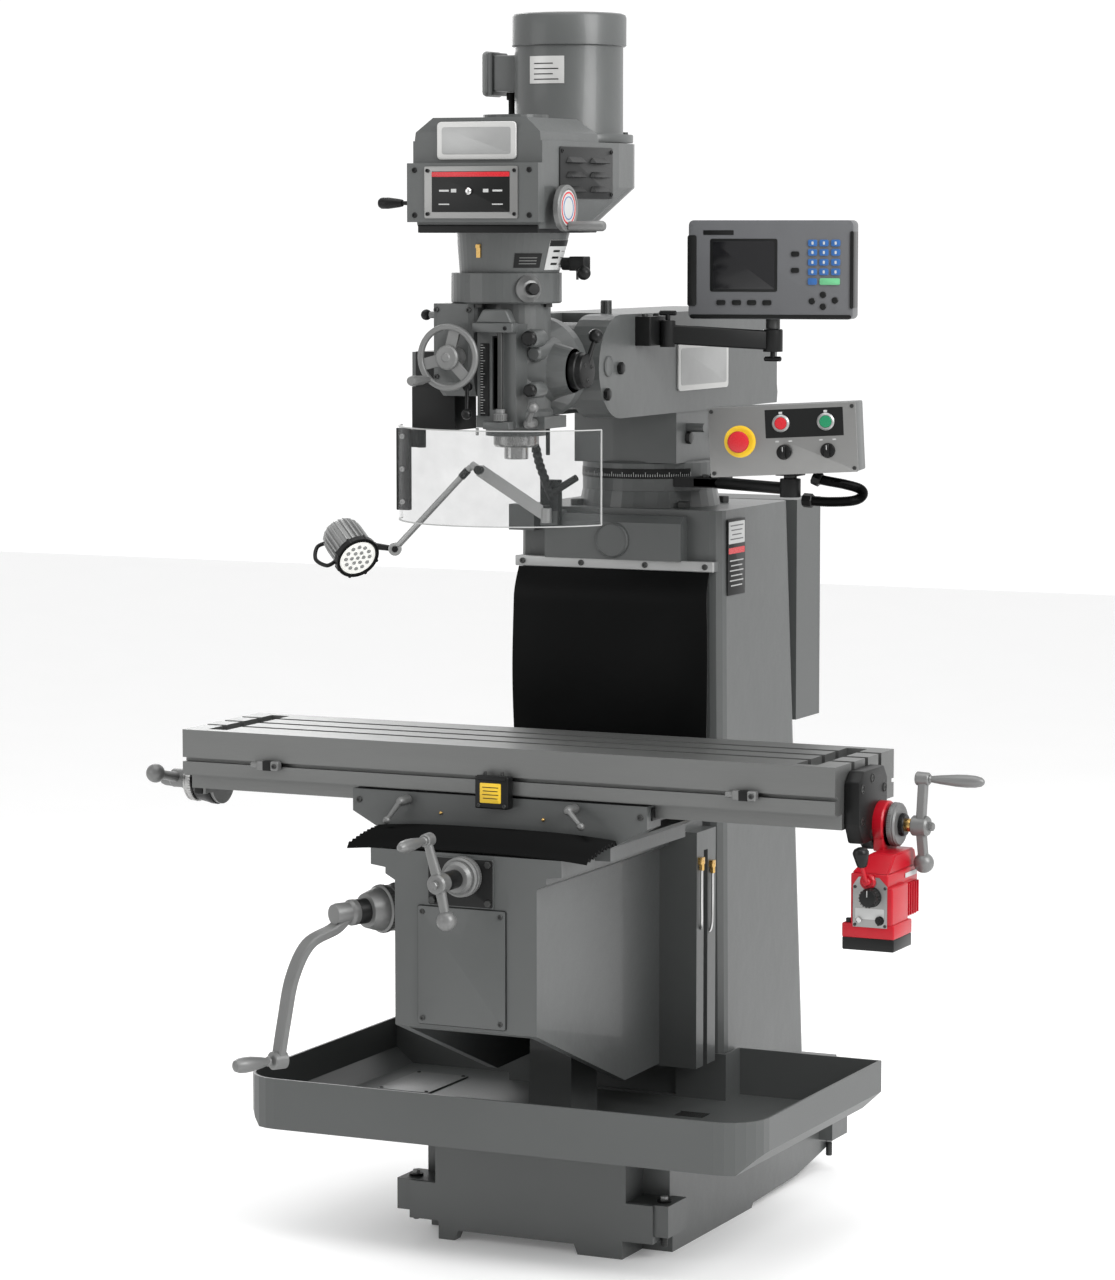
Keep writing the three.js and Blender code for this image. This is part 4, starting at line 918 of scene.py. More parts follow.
lines = Shape("oil_lines", "knee", CHROME, None)
for k in range(2):
    z = 583 + 13 * k
    y = (413, 358)[k]
    route = [at(150, 390 - 14 * k, z), at(190, 390 - 14 * k, z), at(222, y - 8 + 16 * k, z + 2),
             at(232, y - 3 + 5 * k, z + 14), at(233, y, z + 60), at(233, y, z + 128)]
    lines.use(CHROME).sweep(smooth_path(route, 6), circle(2.6, 12))
    lines.use(BRASS).rod(at(233, y, z + 122), at(233, y, z + 142), 5.5, 5.5, 1, 6)
    lines.rod(at(149, 390 - 14 * k, z), at(158, 390 - 14 * k, z), 5.5, 5.5, 1, 6)
    lines.block(228, 237, y - 8, y + 8, z + 134, z + 148, 1)
lines.done()

# ---------------------------------------------------------------- front bellows and way cover
def pleats(y0, y1, z0, rise, count, depth):
    """Side view of a pleated cover from y0 to y1: (y, z) of the folds, in millimetres."""
    out = []
    for k in range(2 * count + 1):
        t = k / (2 * count)
        y = y0 + (y1 - y0) * t
        crown = z0 + rise * math.sin(math.pi * (0.10 + 0.40 * t))
        out.append((y, crown + (0 if k % 2 else -depth)))
    return out


def bellows_mesh(name, half, folds, thickness, crown):
    """The folds carried across the machine, arched down a little at both ends."""
    bm = bmesh.new()
    xs = [half * (2 * k / 36 - 1) for k in range(37)]
    layers = []
    for lower in (0, thickness):
        rows = []
        for y, z in folds:
            rows.append([bm.verts.new(at(x, y, z - lower - crown * abs(x / half) ** 3)) for x in xs])
        layers.append(rows)
    upper, under = layers
    for rows in layers:
        for one, two in zip(rows, rows[1:]):
            for k in range(len(xs) - 1):
                bm.faces.new([one[k], one[k + 1], two[k + 1], two[k]])
    for k in range(len(xs) - 1):
        bm.faces.new([upper[0][k], upper[0][k + 1], under[0][k + 1], under[0][k]])
        bm.faces.new([upper[-1][k], upper[-1][k + 1], under[-1][k + 1], under[-1][k]])
    for i in range(len(folds) - 1):
        bm.faces.new([upper[i][0], upper[i + 1][0], under[i + 1][0], under[i][0]])
        bm.faces.new([upper[i][-1], upper[i + 1][-1], under[i + 1][-1], under[i][-1]])
    bmesh.ops.recalc_face_normals(bm, faces=bm.faces)
    mesh = bpy.data.meshes.new(name)
    bm.to_mesh(mesh)
    bm.free()
    mesh.materials.append(RUBBER)
    obj = bpy.data.objects.new(name, mesh)
    bpy.context.scene.collection.objects.link(obj)
    return obj


folds = pleats(-221, -86, 822, 26, 9, 9)
bellows = bellows_mesh("bellows", 250, folds, 1.6, 9)
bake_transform(bellows)
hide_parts("front_bellows")

sheet_rows = []
for k in range(49):
    t = k / 48
    z = 1299 + (842 - 1299) * t
    y = 447 - 22 * math.sin(min(1,
                                t * 7) * math.pi / 2) - 3.5 * math.sin(math.pi * t) + 1.2 * math.sin(9.5 * t)
    sheet_rows.append((y, z))
bm = bmesh.new()
layers = []
for back in (0, 2.2):
    rows = []
    for y, z in sheet_rows:
        t = (1299 - z) / 457
        row = []
        for k in range(29):
            s = 2 * k / 28 - 1
            x = s * (209 + 5 * math.sin(math.pi * min(1, t * 1.15)))
            sag = (1.6 * math.sin(3.1 * s + 4 * t) * math.sin(math.pi * t)
                   + 7 * abs(s) ** 6 * math.sin(math.pi * t))
            row.append(bm.verts.new(at(x, y + sag + back, z)))
        rows.append(row)
    layers.append(rows)
for rows in layers:
    for one, two in zip(rows, rows[1:]):
        for k in range(28):
            bm.faces.new([one[k], one[k + 1], two[k + 1], two[k]])
front_layer, back_layer = layers
for i in range(len(sheet_rows) - 1):
    for k in (0, 28):
        bm.faces.new([front_layer[i][k], front_layer[i + 1][k], back_layer[i + 1][k], back_layer[i][k]])
for k in range(28):
    for i in (0, len(sheet_rows) - 1):
        bm.faces.new([front_layer[i][k], front_layer[i][k + 1], back_layer[i][k + 1], back_layer[i][k]])
bmesh.ops.recalc_face_normals(bm, faces=bm.faces)
for face in bm.faces:
    face.smooth = True
mesh = bpy.data.meshes.new("way_cover")
bm.to_mesh(mesh)
bm.free()
mesh.materials.append(RUBBER)
way_cover = bpy.data.objects.new("way_cover", mesh)
bpy.context.scene.collection.objects.link(way_cover)
mesh.set_sharp_from_angle(angle=math.radians(50))
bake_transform(way_cover)
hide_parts("way_cover_sheet")

# ---------------------------------------------------------------- saddle and table
clamp_lever("table_lock_left_detail", "table_lock_left", "table_lock_left", -191, -83.3, 890, -0.55, 42, 38,
            7.5)
clamp_lever("table_lock_right_detail", "table_lock_right", "table_lock_right", 162, -83.3, 893, 0.9, 42, 38,
            7.5)
side_lock = Shape("saddle_lock_detail", "saddle_lock_lever", SATIN, "satin_alloy")
side_lock.turned([(0, 0), (9, 0), (9.5, 1), (9.5, 20), (7, 26), (0, 27)], at(-236, -40, 809), -X, 28)
side_lock.rod(at(-258, -40, 809), at(-272, -66, 778), 6, 4)
side_lock.ball(at(-272, -66, 778), 8, 24)
side_lock.done(["saddle_lock_lever"])

switch = Shape("table_limit_switch", "saddle", BLACK_PLASTIC, None)
switch.block(-35, 35, -110, -87.3, 886, 948, 3)
switch.block(-30, 30, -112, -108, 940, 950, 1.5)
switch.use(YELLOW).prism(rounded(44, 38, 2), at(-2, -109.6, 916), X, Z, 1.2, 0.4)
switch.use(BLACK_PLASTIC)
for row in range(4):
    switch.prism(rounded(34 - 3 * (row % 2), 1.6, 0.4, 1), at(-2, -110.6, 927 - 7 * row), X, Z, 0.4, 0)
switch.use(DARK_STEEL)
for x in (-27, 27):
    switch.screw(at(x, -110, 892), -Y, 4, 2)
switch.rod(at(-18, -100, 948), at(-18, -100, 956), 3.5, 3)
switch.rod(at(18, -100, 948), at(18, -100, 956), 3.5, 3)
switch.done()

for s, x in ((-1, -488), (1, 512)):
    name = "stop_dog_left" if s < 0 else "stop_dog_right"
    dog = Shape(name + "_detail", name, SATIN, "satin_alloy")
    dog.block(x - 24, x + 24, -103, -86.3, 931, 949, 3)
    dog.use(BLACK_PAINT).block(x - 10, x + 8, -103.5, -87, 930.5, 949.5, 1)
    dog.use(SATIN).rod(at(x + s * 18 if s < 0 else x - 20, -95, 940),
                       at(x + (-38 if s < 0 else -38), -95, 940), 6, 6)
    dog.use(DARK_STEEL).screw(at(x + 16, -103, 940), -Y, 5, 3)
    dog.done([name])

gib = Shape("saddle_trim", "saddle", DARK_STEEL, None)
for x in (-296, 296):
    gib.screw(at(x, -83, 884), -Y, 6, 3)
gib.screw(at(236, -83, 830), -Y, 6, 3)
gib.use(BRASS)
for x in (-120, 96):
    gib.ball(at(x, -84.5, 868), 3.4, 16)
gib.use(BLACK_PAINT).block(310, 312.5, -64, 40, 876, 900, 1)
gib.block(310, 312.5, 190, 256, 866, 900, 1)
gib.done()

screw_left = Shape("table_screw_detail", "table_screw", TURNED, "machined_steel")


def feed(x, y=0.0, z=0.0):
    return at(x, 66 + y, 880 + z)


screw_left.turned([(0, -684), (11, -684), (11, 684), (0, 684)], feed(0), X, 24)
screw_left.turned([(0, -755), (12, -755), (12, 762), (0, 762)], feed(0), X, 24)
graduated_dial(screw_left, feed(-732.7), -X, 44, 20, 11, 50)
screw_left.use(SATIN).turned([(0, 18), (22, 18), (22, 36), (19, 38), (0, 38)], feed(-733), -X, 40)
ball_crank(screw_left.use(SATIN), feed(-782), -X, math.pi + 0.22, 90, 88, 68)
screw_left.done(["table_screw"])


# ---------------------------------------------------------------- power feed at the right end of the table
def feed_outline(points, x0, x1, shape, bevel=2.0):
    """Extrudes (y, z) points from x0 to x1."""
    return shape.prism([(y, z) for y, z in points], at(x0, 0, 0), Y, Z, x1 - x0, bevel)


drive = Shape("feed_drive_detail", "table", RED_PAINT, "red_paint")
drive.prism([(y, z) for y, z in ((-56, 711), (100, 711), (100, 780), (-56, 780))], at(706, 0, 0), Y, Z, 73,
            3, 3)
drive.block(706, 788, -56, 28, 709, 780, 4, 4)
drive.block(706, 779, -56, 100, 776, 804, 3, 3)
bm = bmesh.new()
low_ring = [(706, -56), (779, -56), (779, 100), (706, 100)]
high_ring = [(727, -10), (776, -10), (776, 91), (727, 92)]
rings = [[bm.verts.new(at(x, y, z)) for x, y in ring] for ring, z in ((low_ring, 803), (high_ring, 836))]
for k in range(4):
    bm.faces.new([rings[0][k], rings[0][(k + 1) % 4], rings[1][(k + 1) % 4], rings[1][k]])
bm.faces.new(rings[0])
bm.faces.new(rings[1])
bmesh.ops.bevel(bm, geom=bm.edges[:], offset=3 * MM, segments=3, affect="EDGES", clamp_overlap=True)
drive.take(bm)
drive.block(689, 791, -56, 40, 684, 711, 3, 3)
for k in range(5):
    y = 40 + 12 * k
    drive.block(778, 786, y - 1.6, y + 1.6, 716, 776, 1, 2)
drive.turned([(0, 714), (43, 714), (43.4, 716), (43.4, 734), (41, 737), (0, 737)], at(0, 66, 880), X, 64)
drive.block(717, 737, 30, 102, 833, 880, 2)
drive.use(BLACK_PLASTIC).block(689.5, 790.5, -55.5, 39.5, 661, 685, 2.5, 3)
ADAPTER = [(-42, 968), (-42, 888), (-22, 852), (28, 852), (52, 832), (86, 838), (104, 880), (104, 965),
           (86, 987), (-18, 987)]
drive.use(BLACK_PAINT)
feed_outline(ADAPTER, 686.4, 717, drive, 4)
drive.use(DARK_STEEL)
for y, z in ((-26, 955), (-26, 895), (22, 866), (88, 945), (86, 880), (24, 970)):
    drive.turned([(7.5, 0), (8.5, 0.3), (8.5, 1.4), (7.5, 1.6), (7.5, 0)], at(716.6, y, z), X, 24)
    drive.turned([(0, -6), (6.4, -6), (6.4, 0.2), (5.8, 0.8), (3, 0.8), (3, -2), (0, -2)], at(716.8, y, z),
                 X, 24)
drive.use(BRUSHED)
drive.prism([(711 - 744, 705 - 752), (778 - 744, 705 - 752), (778 - 744, 782 - 752), (762 - 744, 798 - 752),
             (722 - 744, 798 - 752),
             (711 - 744, 782 - 752)], at(744, -55.6, 752), X, Z, 1.6, 0.4)
drive.use(RED_PAINT).turned([(0, 0), (15, 0), (15, 4), (12, 7), (0, 7)], at(741, -56.4, 790), -Y, 36)
drive.use(WHITE)
drive.prism(rounded(56, 20, 1.5), at(744, -57.0, 730), X, Z, 0.35, 0)
drive.prism(rounded(66, 24, 2), at(779.6, 66, 748), Y, Z, 0.8, 0.2)
drive.prism(rounded(58, 12, 2), at(779.6, 66, 722), Y, Z, 0.8, 0.2)
drive.prism(rounded(60, 9, 2), at(779.6, 62, 791), Y, Z, 0.8, 0.2)
drive.use(CHROME).turned([(0, 0), (5.5, 0), (5.5, 5), (4, 6), (0, 6)], at(724, -57, 719), -Y, 24)
drive.use(BLACK_PLASTIC).turned([(0, 0), (8.5, 0), (8.5, 3), (6.5, 4), (6, 9), (0, 9.5)], at(764, -57, 719),
                                -Y, 28)
drive.block(762.4, 765.6, -68, -60, 711, 727, 0.8)
drive.use(DARK_STEEL)
for x, z in ((715, 709), (774, 709), (715, 779), (774, 779)):
    drive.screw(at(x, -57, z), -Y, 3, 1.6)
drive.use(BLACK_PLASTIC)
for x, y in ((700, -46), (781, -46)):
    drive.turned([(0, 0), (6, 0), (6, 9), (4.5, 10), (0, 10)], at(x, y, 709), Z, 24)
drive.done(["feed_drive"])

lever = Shape("feed_lever_detail", "feed_lever", RED_PAINT, "black_plastic")
lever.turned([(0, 0), (7, 0), (7.5, 1), (7.5, 12), (6, 14), (0, 14)], at(741, -56.3, 790), -Y, 28)
lever.rod(at(741, -66, 789), at(736, -80, 824), 4, 4)
lever.use(BLACK_PLASTIC)
tip = at(737, -78, 820)
lever.turned([(0, 0), (8, 0), (10, 3), (15, 24), (15, 28), (12, 33), (6, 36), (0, 36.5)], tip,
             at(735, -83, 854) - tip, 36)
lever.done(["feed_lever"])

knob = Shape("feed_speed_detail", "feed_speed_knob", BLACK_PLASTIC, "black_plastic")
knob.turned([(0, 0), (19, 0), (19, 4), (17.5, 5), (17, 21), (15, 25), (12, 26), (0, 26)],
            at(748, -56.3, 762), -Y, 48)
for k in range(18):
    a = 2 * math.pi * k / 18
    spot = at(748 + 17.0 * math.cos(a), -61, 762 + 17.0 * math.sin(a))
    knob.rod(spot, spot - Y * 0.018, 1.3, 1.1, 0.3, 8)
knob.use(WHITE).block(747.4, 748.6, -83.0, -82, 765, 777, 0)
knob.done(["feed_speed_knob"])

right = Shape("right_crank_detail", "table_screw", SATIN, "satin_alloy")
graduated_dial(right, feed(742.7), X, 41, 16, 9, 60)
right.use(BLACK_PLASTIC).turned([(0, 758), (20, 758), (21, 759), (21, 767), (19, 769), (0, 769)],
                                at(0, 66, 880), X, 36)
for k in range(24):
    a = 2 * math.pi * k / 24
    spot = feed(759.5, 20.6 * math.cos(a), 20.6 * math.sin(a))
    right.rod(spot, spot + X * 0.007, 0.9, 0.9, 0.2, 6)
right.use(BRASS).turned([(0, 768), (12, 768), (12.4, 769), (12.4, 783), (0, 783)], at(0, 66, 880), X, 32)
ball_crank(right.use(SATIN), feed(797), X, -math.pi / 2 + 0.1, 70, 90, 100, True)
right.done(["right_crank"])

# ---------------------------------------------------------------- table
table_trim = Shape("table_trim", "table", DARK_STEEL, None)
table_trim.use(BLACK_PAINT)
table_trim.turned([(47, 690), (47.5, 691), (47, 702), (45.6, 706), (41, 731), (40, 732), (20, 732), (20,
        700), (47, 690)],
                  at(0, 66, 880), -X, 64)
table_trim.block(-707.5, -686.2, -9, 141, 860, 964, 5)
table_trim.use(DARK_STEEL)
for y, z in ((4, 952), (128, 952), (4, 872), (128, 872)):
    table_trim.screw(at(-707, y, z), -X, 7, 5)
table_trim.done()

# ---------------------------------------------------------------- control pendant
PENDANT_TURN = Matrix.Rotation(math.radians(12), 3, "Z") @ Matrix.Rotation(math.radians(-3), 3, "Y")
PENDANT_MIDDLE = at(390, 404, 1571)
PX, PY, PZ = PENDANT_TURN @ X, PENDANT_TURN @ Y, PENDANT_TURN @ Z


def on_pendant(x, y, z):
    return PENDANT_MIDDLE + (PX * x + PY * y + PZ * z) * MM


box_shape = Shape("pendant_case", "pendant", BRUSHED, "machined_steel")
box_shape.prism(rounded(290, 135, 3), on_pendant(0, -43, 0), PX, PZ, 3.0, 1.0)
box_shape.use(SHEET_PAINT).prism(rounded(289, 134, 3), on_pendant(0, 46, 0), PX, PZ, 89, 1.5)
box_shape.use(BLACK_PAINT).prism(rounded(153, 55, 1), on_pendant(43.5, -45.9, 31.5), PX, PZ, 0.35, 0)
box_shape.use(YELLOW).turned([(0, 0), (31, 0), (31, 1.6), (26, 2.4), (25, 2.2), (0, 2.2)],
                             on_pendant(-84, -46, 0), -PY, 56)
box_shape.use(BRIGHT)
for x in (-2, 86):
    box_shape.turned([(12.2, 0), (17, 0), (17, 2.6), (14, 4.6), (12.2, 4.6), (12.2, 0)],
                     on_pendant(x, -46.2, 32), -PY, 40)
box_shape.use(WHITE)
for x, z in ((-2, 55), (86, 55)):
    box_shape.prism(rounded(7, 4.5, 0.6, 1), on_pendant(x, -46.4, z - 3), PX, PZ, 0.3, 0)
for x in (2, 88):
    for dx in (-13, 13):
        box_shape.prism(rounded(7, 3, 0.6, 1), on_pendant(x + dx, -46.4, -3), PX, PZ, 0.3, 0)
box_shape.use(DARK_STEEL)
for x in (-138, 138):
    for z in (-60, 60):
        box_shape.screw(on_pendant(x, -46, z), -PY, 4, 2)
box_shape.done(["pendant_box"])

stop = Shape("stop_button_detail", "stop_button", RED_PLASTIC, "red_plastic")
stop.turned([(0, 12), (14, 12), (20, 14), (21, 17), (21, 21), (19.5, 24), (14, 26), (0, 26.4)],
            on_pendant(-84, -46, 0), -PY, 48)
stop.use(BLACK_PLASTIC).turned([(0, -8), (9, -8), (9, 12.5), (0, 12.5)], on_pendant(-84, -46, 0), -PY, 32)
stop.done(["stop_button"])
for name, x, look, finish in (("off_button", -2, RED_PLASTIC, "red_plastic"),
                              ("start_button", 86, GREEN_PLASTIC, "green_plastic")):
    button = Shape(name + "_detail", name, look, finish)
    button.turned([(0, -7), (12, -7), (12, 4.4), (11, 6), (0, 6.3)], on_pendant(x, -46, 32), -PY, 40)
    button.done([name])
for name, x in (("selector_left", 2), ("selector_right", 88)):
    turn_knob = Shape(name + "_detail", name, BLACK_PLASTIC, "black_plastic")
    turn_knob.turned([(0, 0.3), (14, 0.3), (14.5, 1), (14.5, 6), (12.5, 9), (0, 10)],
                     on_pendant(x, -46, -24), -PY, 40)
    turn_knob.prism([(-4, -12), (-2, -13), (2, -13), (4, -12), (4, 12), (2, 13), (-2, 13), (-4, 12)],
                    on_pendant(x, -53, -24),
                    PX, PZ, 13, 1.4)
    turn_knob.use(WHITE).prism([(-0.7, 2), (0.7, 2), (0.7, 11), (-0.7, 11)], on_pendant(x, -66, -24), PX,
                               PZ, 0.4, 0)
    turn_knob.done([name])

hose_points = [at(440, 440, 1492), at(462, 441, 1488), at(500, 442, 1482), at(530, 440, 1474),
               at(536, 436, 1462),
               at(518, 434, 1452), at(470, 436, 1448), at(426, 438, 1449)]
hose_path = smooth_path(hose_points, 24)
hose = Shape("conduit_hose", "turret", RUBBER, "black_rubber")
bm = bmesh.new()
rings = []
for k, p in enumerate(hose_path):
    before, after = hose_path[max(k - 1, 0)], hose_path[min(k + 1, len(hose_path) - 1)]
    along = (after - before).normalized()
    side = along.cross(Y).normalized()
    over = side.cross(along)
    r = (10.0 if k % 2 else 9.0) * MM
    rings.append([bm.verts.new(p + side * r * math.cos(a) + over * r * math.sin(a))
                  for a in (2 * math.pi * j / 20 for j in range(20))])
for one, two in zip(rings, rings[1:]):
    for j in range(20):
        bm.faces.new([one[j], one[(j + 1) % 20], two[(j + 1) % 20], two[j]])
bm.faces.new(rings[0])
bm.faces.new(list(reversed(rings[-1])))
hose.take(bm)
conduit = hose.done(["pendant_conduit"], 60)

arm = Shape("pendant_arm_detail", "turret", BLACK_PAINT, "black_paint")
arm.block(137.8, 196, 528, 596, 1462, 1482, 2)
arm.rod(at(180, 545, 1472), at(390, 424, 1472), 12, 12, 2, 24)
arm.turned([(0, 1456), (20, 1456), (20.5, 1457), (20.5, 1491), (18, 1492), (0, 1492)], at(390, 424, 0), Z,
           40)
arm.use(DARK_STEEL)
for x, y in ((160, 542), (160, 582)):
    arm.screw(at(x, y, 1482), Z, 7, 6)
arm.use(BLACK_PLASTIC)
arm.rod(at(432, 438, 1496), at(448, 440, 1489), 14, 14, 1.5, 8)
arm.rod(at(432, 438, 1449), at(412, 438, 1450), 14, 14, 1.5, 8)
arm.done()
post = Shape("pendant_post", "pendant", DARK_STEEL, None)
post.rod(at(390, 424, 1492.5), at(390, 424, 1512), 13, 13)
post.use(BLACK_PAINT).block(366, 414, 404, 444, 1498, 1506, 1.5)
post.done()

# ---------------------------------------------------------------- readout
DISPLAY_TURN = Matrix.Rotation(math.radians(12), 3, "Z")
DX, DY = DISPLAY_TURN @ X, DISPLAY_TURN @ Y
DISPLAY_MIDDLE = at(343, 445, 1898)


def on_display(x, y, z):
    return DISPLAY_MIDDLE + (DX * x + DY * y) * MM + Z * z * MM


def on_face(u, v, out=0.0):
    """A point of the display face: u runs across it and v down it, both from 0 to 1."""
    return on_display((u - 0.5) * 325, -30.4 - out, (0.5 - v) * 192)


def key(shape, u, v, w, h, r=3.0):
    shape.prism(rounded(w, h, r), on_face(u, v), DX, Z, 2.2, 0.8)


screen = Shape("readout_case", "readout_display", GREY_PLASTIC, "grey_plastic")
screen.prism(rounded(325, 192, 10, 6), on_display(0, 31, 0), DX, Z, 61, 3, 3)
screen.use(BLACK_PLASTIC)
screen.prism(rounded(18, 138, 4), on_display(-155.5, 24, -2), DX, Z, 56.5, 2)
screen.prism(rounded(7, 150, 3), on_display(160, 24, 0), DX, Z, 56.5, 1.5)
screen.prism(rounded(318, 8, 3), on_display(0, -28, -91), DX, Z, 3, 1)
screen.prism(rounded(133, 103, 4), on_face(0.337, 0.455, -0.6), DX, Z, 1.2, 0.4)
screen.use(SCREEN).prism(rounded(122, 93, 2), on_face(0.337, 0.455, 0.4), DX, Z, 0.8, 0.2)
screen.use(BLACK_PAINT).prism(rounded(60, 9, 1), on_face(0.183, 0.125), DX, Z, 0.5, 0.1)
screen.use(BLUE_PLASTIC)
KEY_COLUMNS = (0.755, 0.824, 0.895)
for v in (0.23, 0.324, 0.423, 0.52):
    for u in KEY_COLUMNS:
        key(screen, u, v, 18, 13)
key(screen, 0.755, 0.617, 18, 13)
key(screen.use(OLIVE), 0.86, 0.617, 40, 13)
screen.use(BLACK_PLASTIC)
for v in (0.34, 0.505):
    key(screen, 0.65, v, 16, 10)
for u in (0.2, 0.295, 0.387, 0.48):
    key(screen, u, 0.833, 18, 10)
for u, v in ((0.82, 0.75), (0.753, 0.815), (0.892, 0.806), (0.82, 0.87)):
    screen.turned([(0, 0), (6.4, 0), (6.4, 1.4), (5, 2.4), (0, 2.6)], on_face(u, v), -DY, 28)
screen.use(WHITE)
for v in (0.23, 0.324, 0.423, 0.52):
    for u in KEY_COLUMNS:
        screen.prism(rounded(4, 6, 0.8, 1), on_face(u, v, 2.3), DX, Z, 0.15, 0)
screen.use(GREY_PLASTIC)
for k in range(9):
    screen.prism(rounded(4, 90, 1.5), on_display(-60 + 15 * k, 32.6, 10), DX, Z, 2.0, 0.6)
screen.use(DARK_STEEL).rod(at(343, 445, 1782.5), at(343, 445, 1806), 14, 14)
screen.done(["readout_display"])

arm = Shape("readout_arm_detail", "readout_arm", BLACK_PAINT, "black_paint")
arm.turned([(0, 1748), (15, 1748), (15.5, 1749), (15.5, 1799), (14, 1800), (0, 1800)], at(165, 340, 0), Z,
           36)
run = (at(343, 445, 1760) - at(165, 340, 1773))
across = Z.cross(run).normalized()
over = run.cross(across).normalized()
arm.prism([(-9, -19), (9, -19), (12, -16), (12, 16), (9, 19), (-9, 19), (-12, 16), (-12, -16)],
          at(165, 340, 1773), across, over,
          run.length / MM * (1 if across.cross(over).dot(run) > 0 else -1), 1)
arm.turned([(0, 1738), (19, 1738), (19.5, 1739), (19.5, 1780), (18, 1782), (0, 1782)], at(343, 445, 0), Z,
           40)
arm.use(BLACK_PLASTIC)
for x, y, z0 in ((165, 340, 1800), (343, 445, 1738)):
    sign = 1 if z0 > 1790 else -1
    arm.rod(at(x, y, z0), at(x, y, z0 + sign * 12), 5, 5)
    arm.rod(at(x - 17, y - 3, z0 + sign * 14), at(x + 17, y + 3, z0 + sign * 14), 5, 5, 2)
arm.done(["readout_arm"])

# ---------------------------------------------------------------- ram, turret and column
ram = Shape("ram_trim", "ram", PLATE, None)
ram.prism(rounded(256, 96, 9), at(120, 617, 1703), Y, Z, 4, 1.4)
ram.use(BRIGHT).prism(rounded(232, 74, 6), at(123.8, 617, 1703), Y, Z, 0.8, 0.4)
ram.use(BLACK_PAINT)
for y, z in ((209, 1710), (146, 1662)):
    ram.turned([(0, 0), (11, 0), (12, 1), (12, 8), (10, 9), (0, 9)], at(120, y, z), X, 6)
ram.use(PAINT).turned([(0, -1), (20, -1), (20, 2), (18, 3), (16, 2), (0, 2)], at(120, 158, 1715), X, 40)
ram.use(DARK_STEEL).turned([(0, 0), (11, 0), (11, 24), (9, 26), (0, 26)], at(60, 280, 1812.6), Z, 32)
ram.use(BLACK_PAINT).block(118, 152, 284, 363, 1751, 1808, 2)
ram.use(DARK_STEEL)
for y in (296, 350):
    ram.screw(at(135, y, 1808), Z, 6, 5)
ram.done()

turret = Shape("turret_trim", "turret", DARK_STEEL, None)
arc_points = []
for k in range(41):
    a = math.radians(-150 + 120 * k / 40)
    arc_points.append(at(137.4 * math.cos(a), 629 + 137.4 * math.sin(a), 1480))
turret.use(BLACK_PAINT).sweep([p + Z * 0.008 for p in arc_points],
                              [(-0.8, -10), (0.8, -10), (0.8, 10), (-0.8, 10)], Z)
turret.use(WHITE)
for k in range(61):
    a = math.radians(-150 + 2 * k)
    radial = Vector((math.cos(a), math.sin(a), 0))
    side = Vector((-math.sin(a), math.cos(a), 0))
    long = 9 if k % 5 == 0 else 5
    turret.prism([(-0.5, 0), (0.5, 0), (0.5, long), (-0.5, long)], at(0, 629, 1482) + radial * 0.1385, side,
                 Z, -0.2, 0)
turret.use(DARK_STEEL)
for x in (-80, 80):
    for y in (520, 738):
        turret.screw(at(x, y, 1600), Z, 9, 8)
for y in (560, 700):
    turret.turned([(0, 0), (12, 0), (13, 1), (13, 9), (11, 10), (0, 10)], at(112, y, 1560), X, 6)
turret.done()

column = Shape("column_trim", "stand", BLACK_PAINT, None)
column.prism(rounded(90, 152, 3), at(225.5, 545, 1325), Y, Z, 1.2, 0.4)
column.use(WHITE).prism(rounded(82, 44, 2), at(226.8, 545, 1374), Y, Z, 0.3, 0)
column.use(RED_PLASTIC).prism(rounded(82, 12, 1), at(226.8, 545, 1338), Y, Z, 0.3, 0)
column.use(GREY_PLASTIC)
for row in range(4):
    column.prism(rounded(66 - 9 * (row % 3), 2.4, 0.5, 1), at(227.1, 545, 1388 - 9 * row), Y, Z, 0.25, 0)
column.use(LIGHT_PLASTIC)
for row in range(6):
    column.prism(rounded(70 - 12 * (row % 2), 2.4, 0.5, 1), at(226.8, 545, 1318 - 10 * row), Y, Z, 0.25, 0)
column.use(BRIGHT).block(-217, 217, 446, 455, 1299.5, 1320.5, 2)
column.use(PAINT).turned([(0, -3), (36, -3), (36, 3), (33, 5), (32, 3), (0, 3)], at(0, 442, 1358), -Y, 56)
column.use(DARK_STEEL)
for x in (-200, -70, 70, 200):
    column.screw(at(x, 446, 1310), -Y, 6, 3)
column.use(BLACK_PAINT).block(-151, -111, 423.5, 445, 1384, 1476, 2)
column.use(DARK_STEEL)
for x in (-118, 118):
    for y in (529, 729):
        column.turned([(0, 0), (13, 0), (14, 1), (14, 12), (12, 13), (0, 13)], at(x, y, 1420), Z, 6)
column.done()

hose_route = smooth_path([at(-154, 412, 1540), at(-148, 413, 1512), at(-138, 416, 1482), at(-128, 424,
        1450),
                          at(-120, 438, 1424)], 8)
coolant = Shape("coolant_pipe", "stand", BLACK_PLASTIC, None)
bm = bmesh.new()
rings = []
for k, p in enumerate(hose_route):
    before, after = hose_route[max(k - 1, 0)], hose_route[min(k + 1, len(hose_route) - 1)]
    along = (after - before).normalized()
    side = along.cross(X).normalized()
    over = side.cross(along)
    r = (9.5 if k % 3 else 7.5) * MM
    rings.append([bm.verts.new(p + side * r * math.cos(a) + over * r * math.sin(a))
                  for a in (2 * math.pi * j / 16 for j in range(16))])
for one, two in zip(rings, rings[1:]):
    for j in range(16):
        bm.faces.new([one[j], one[(j + 1) % 16], two[(j + 1) % 16], two[j]])
bm.faces.new(rings[0])
bm.faces.new(list(reversed(rings[-1])))
coolant.take(bm)
coolant.rod(at(-153, 412, 1532), at(-156, 411, 1554), 10, 6)
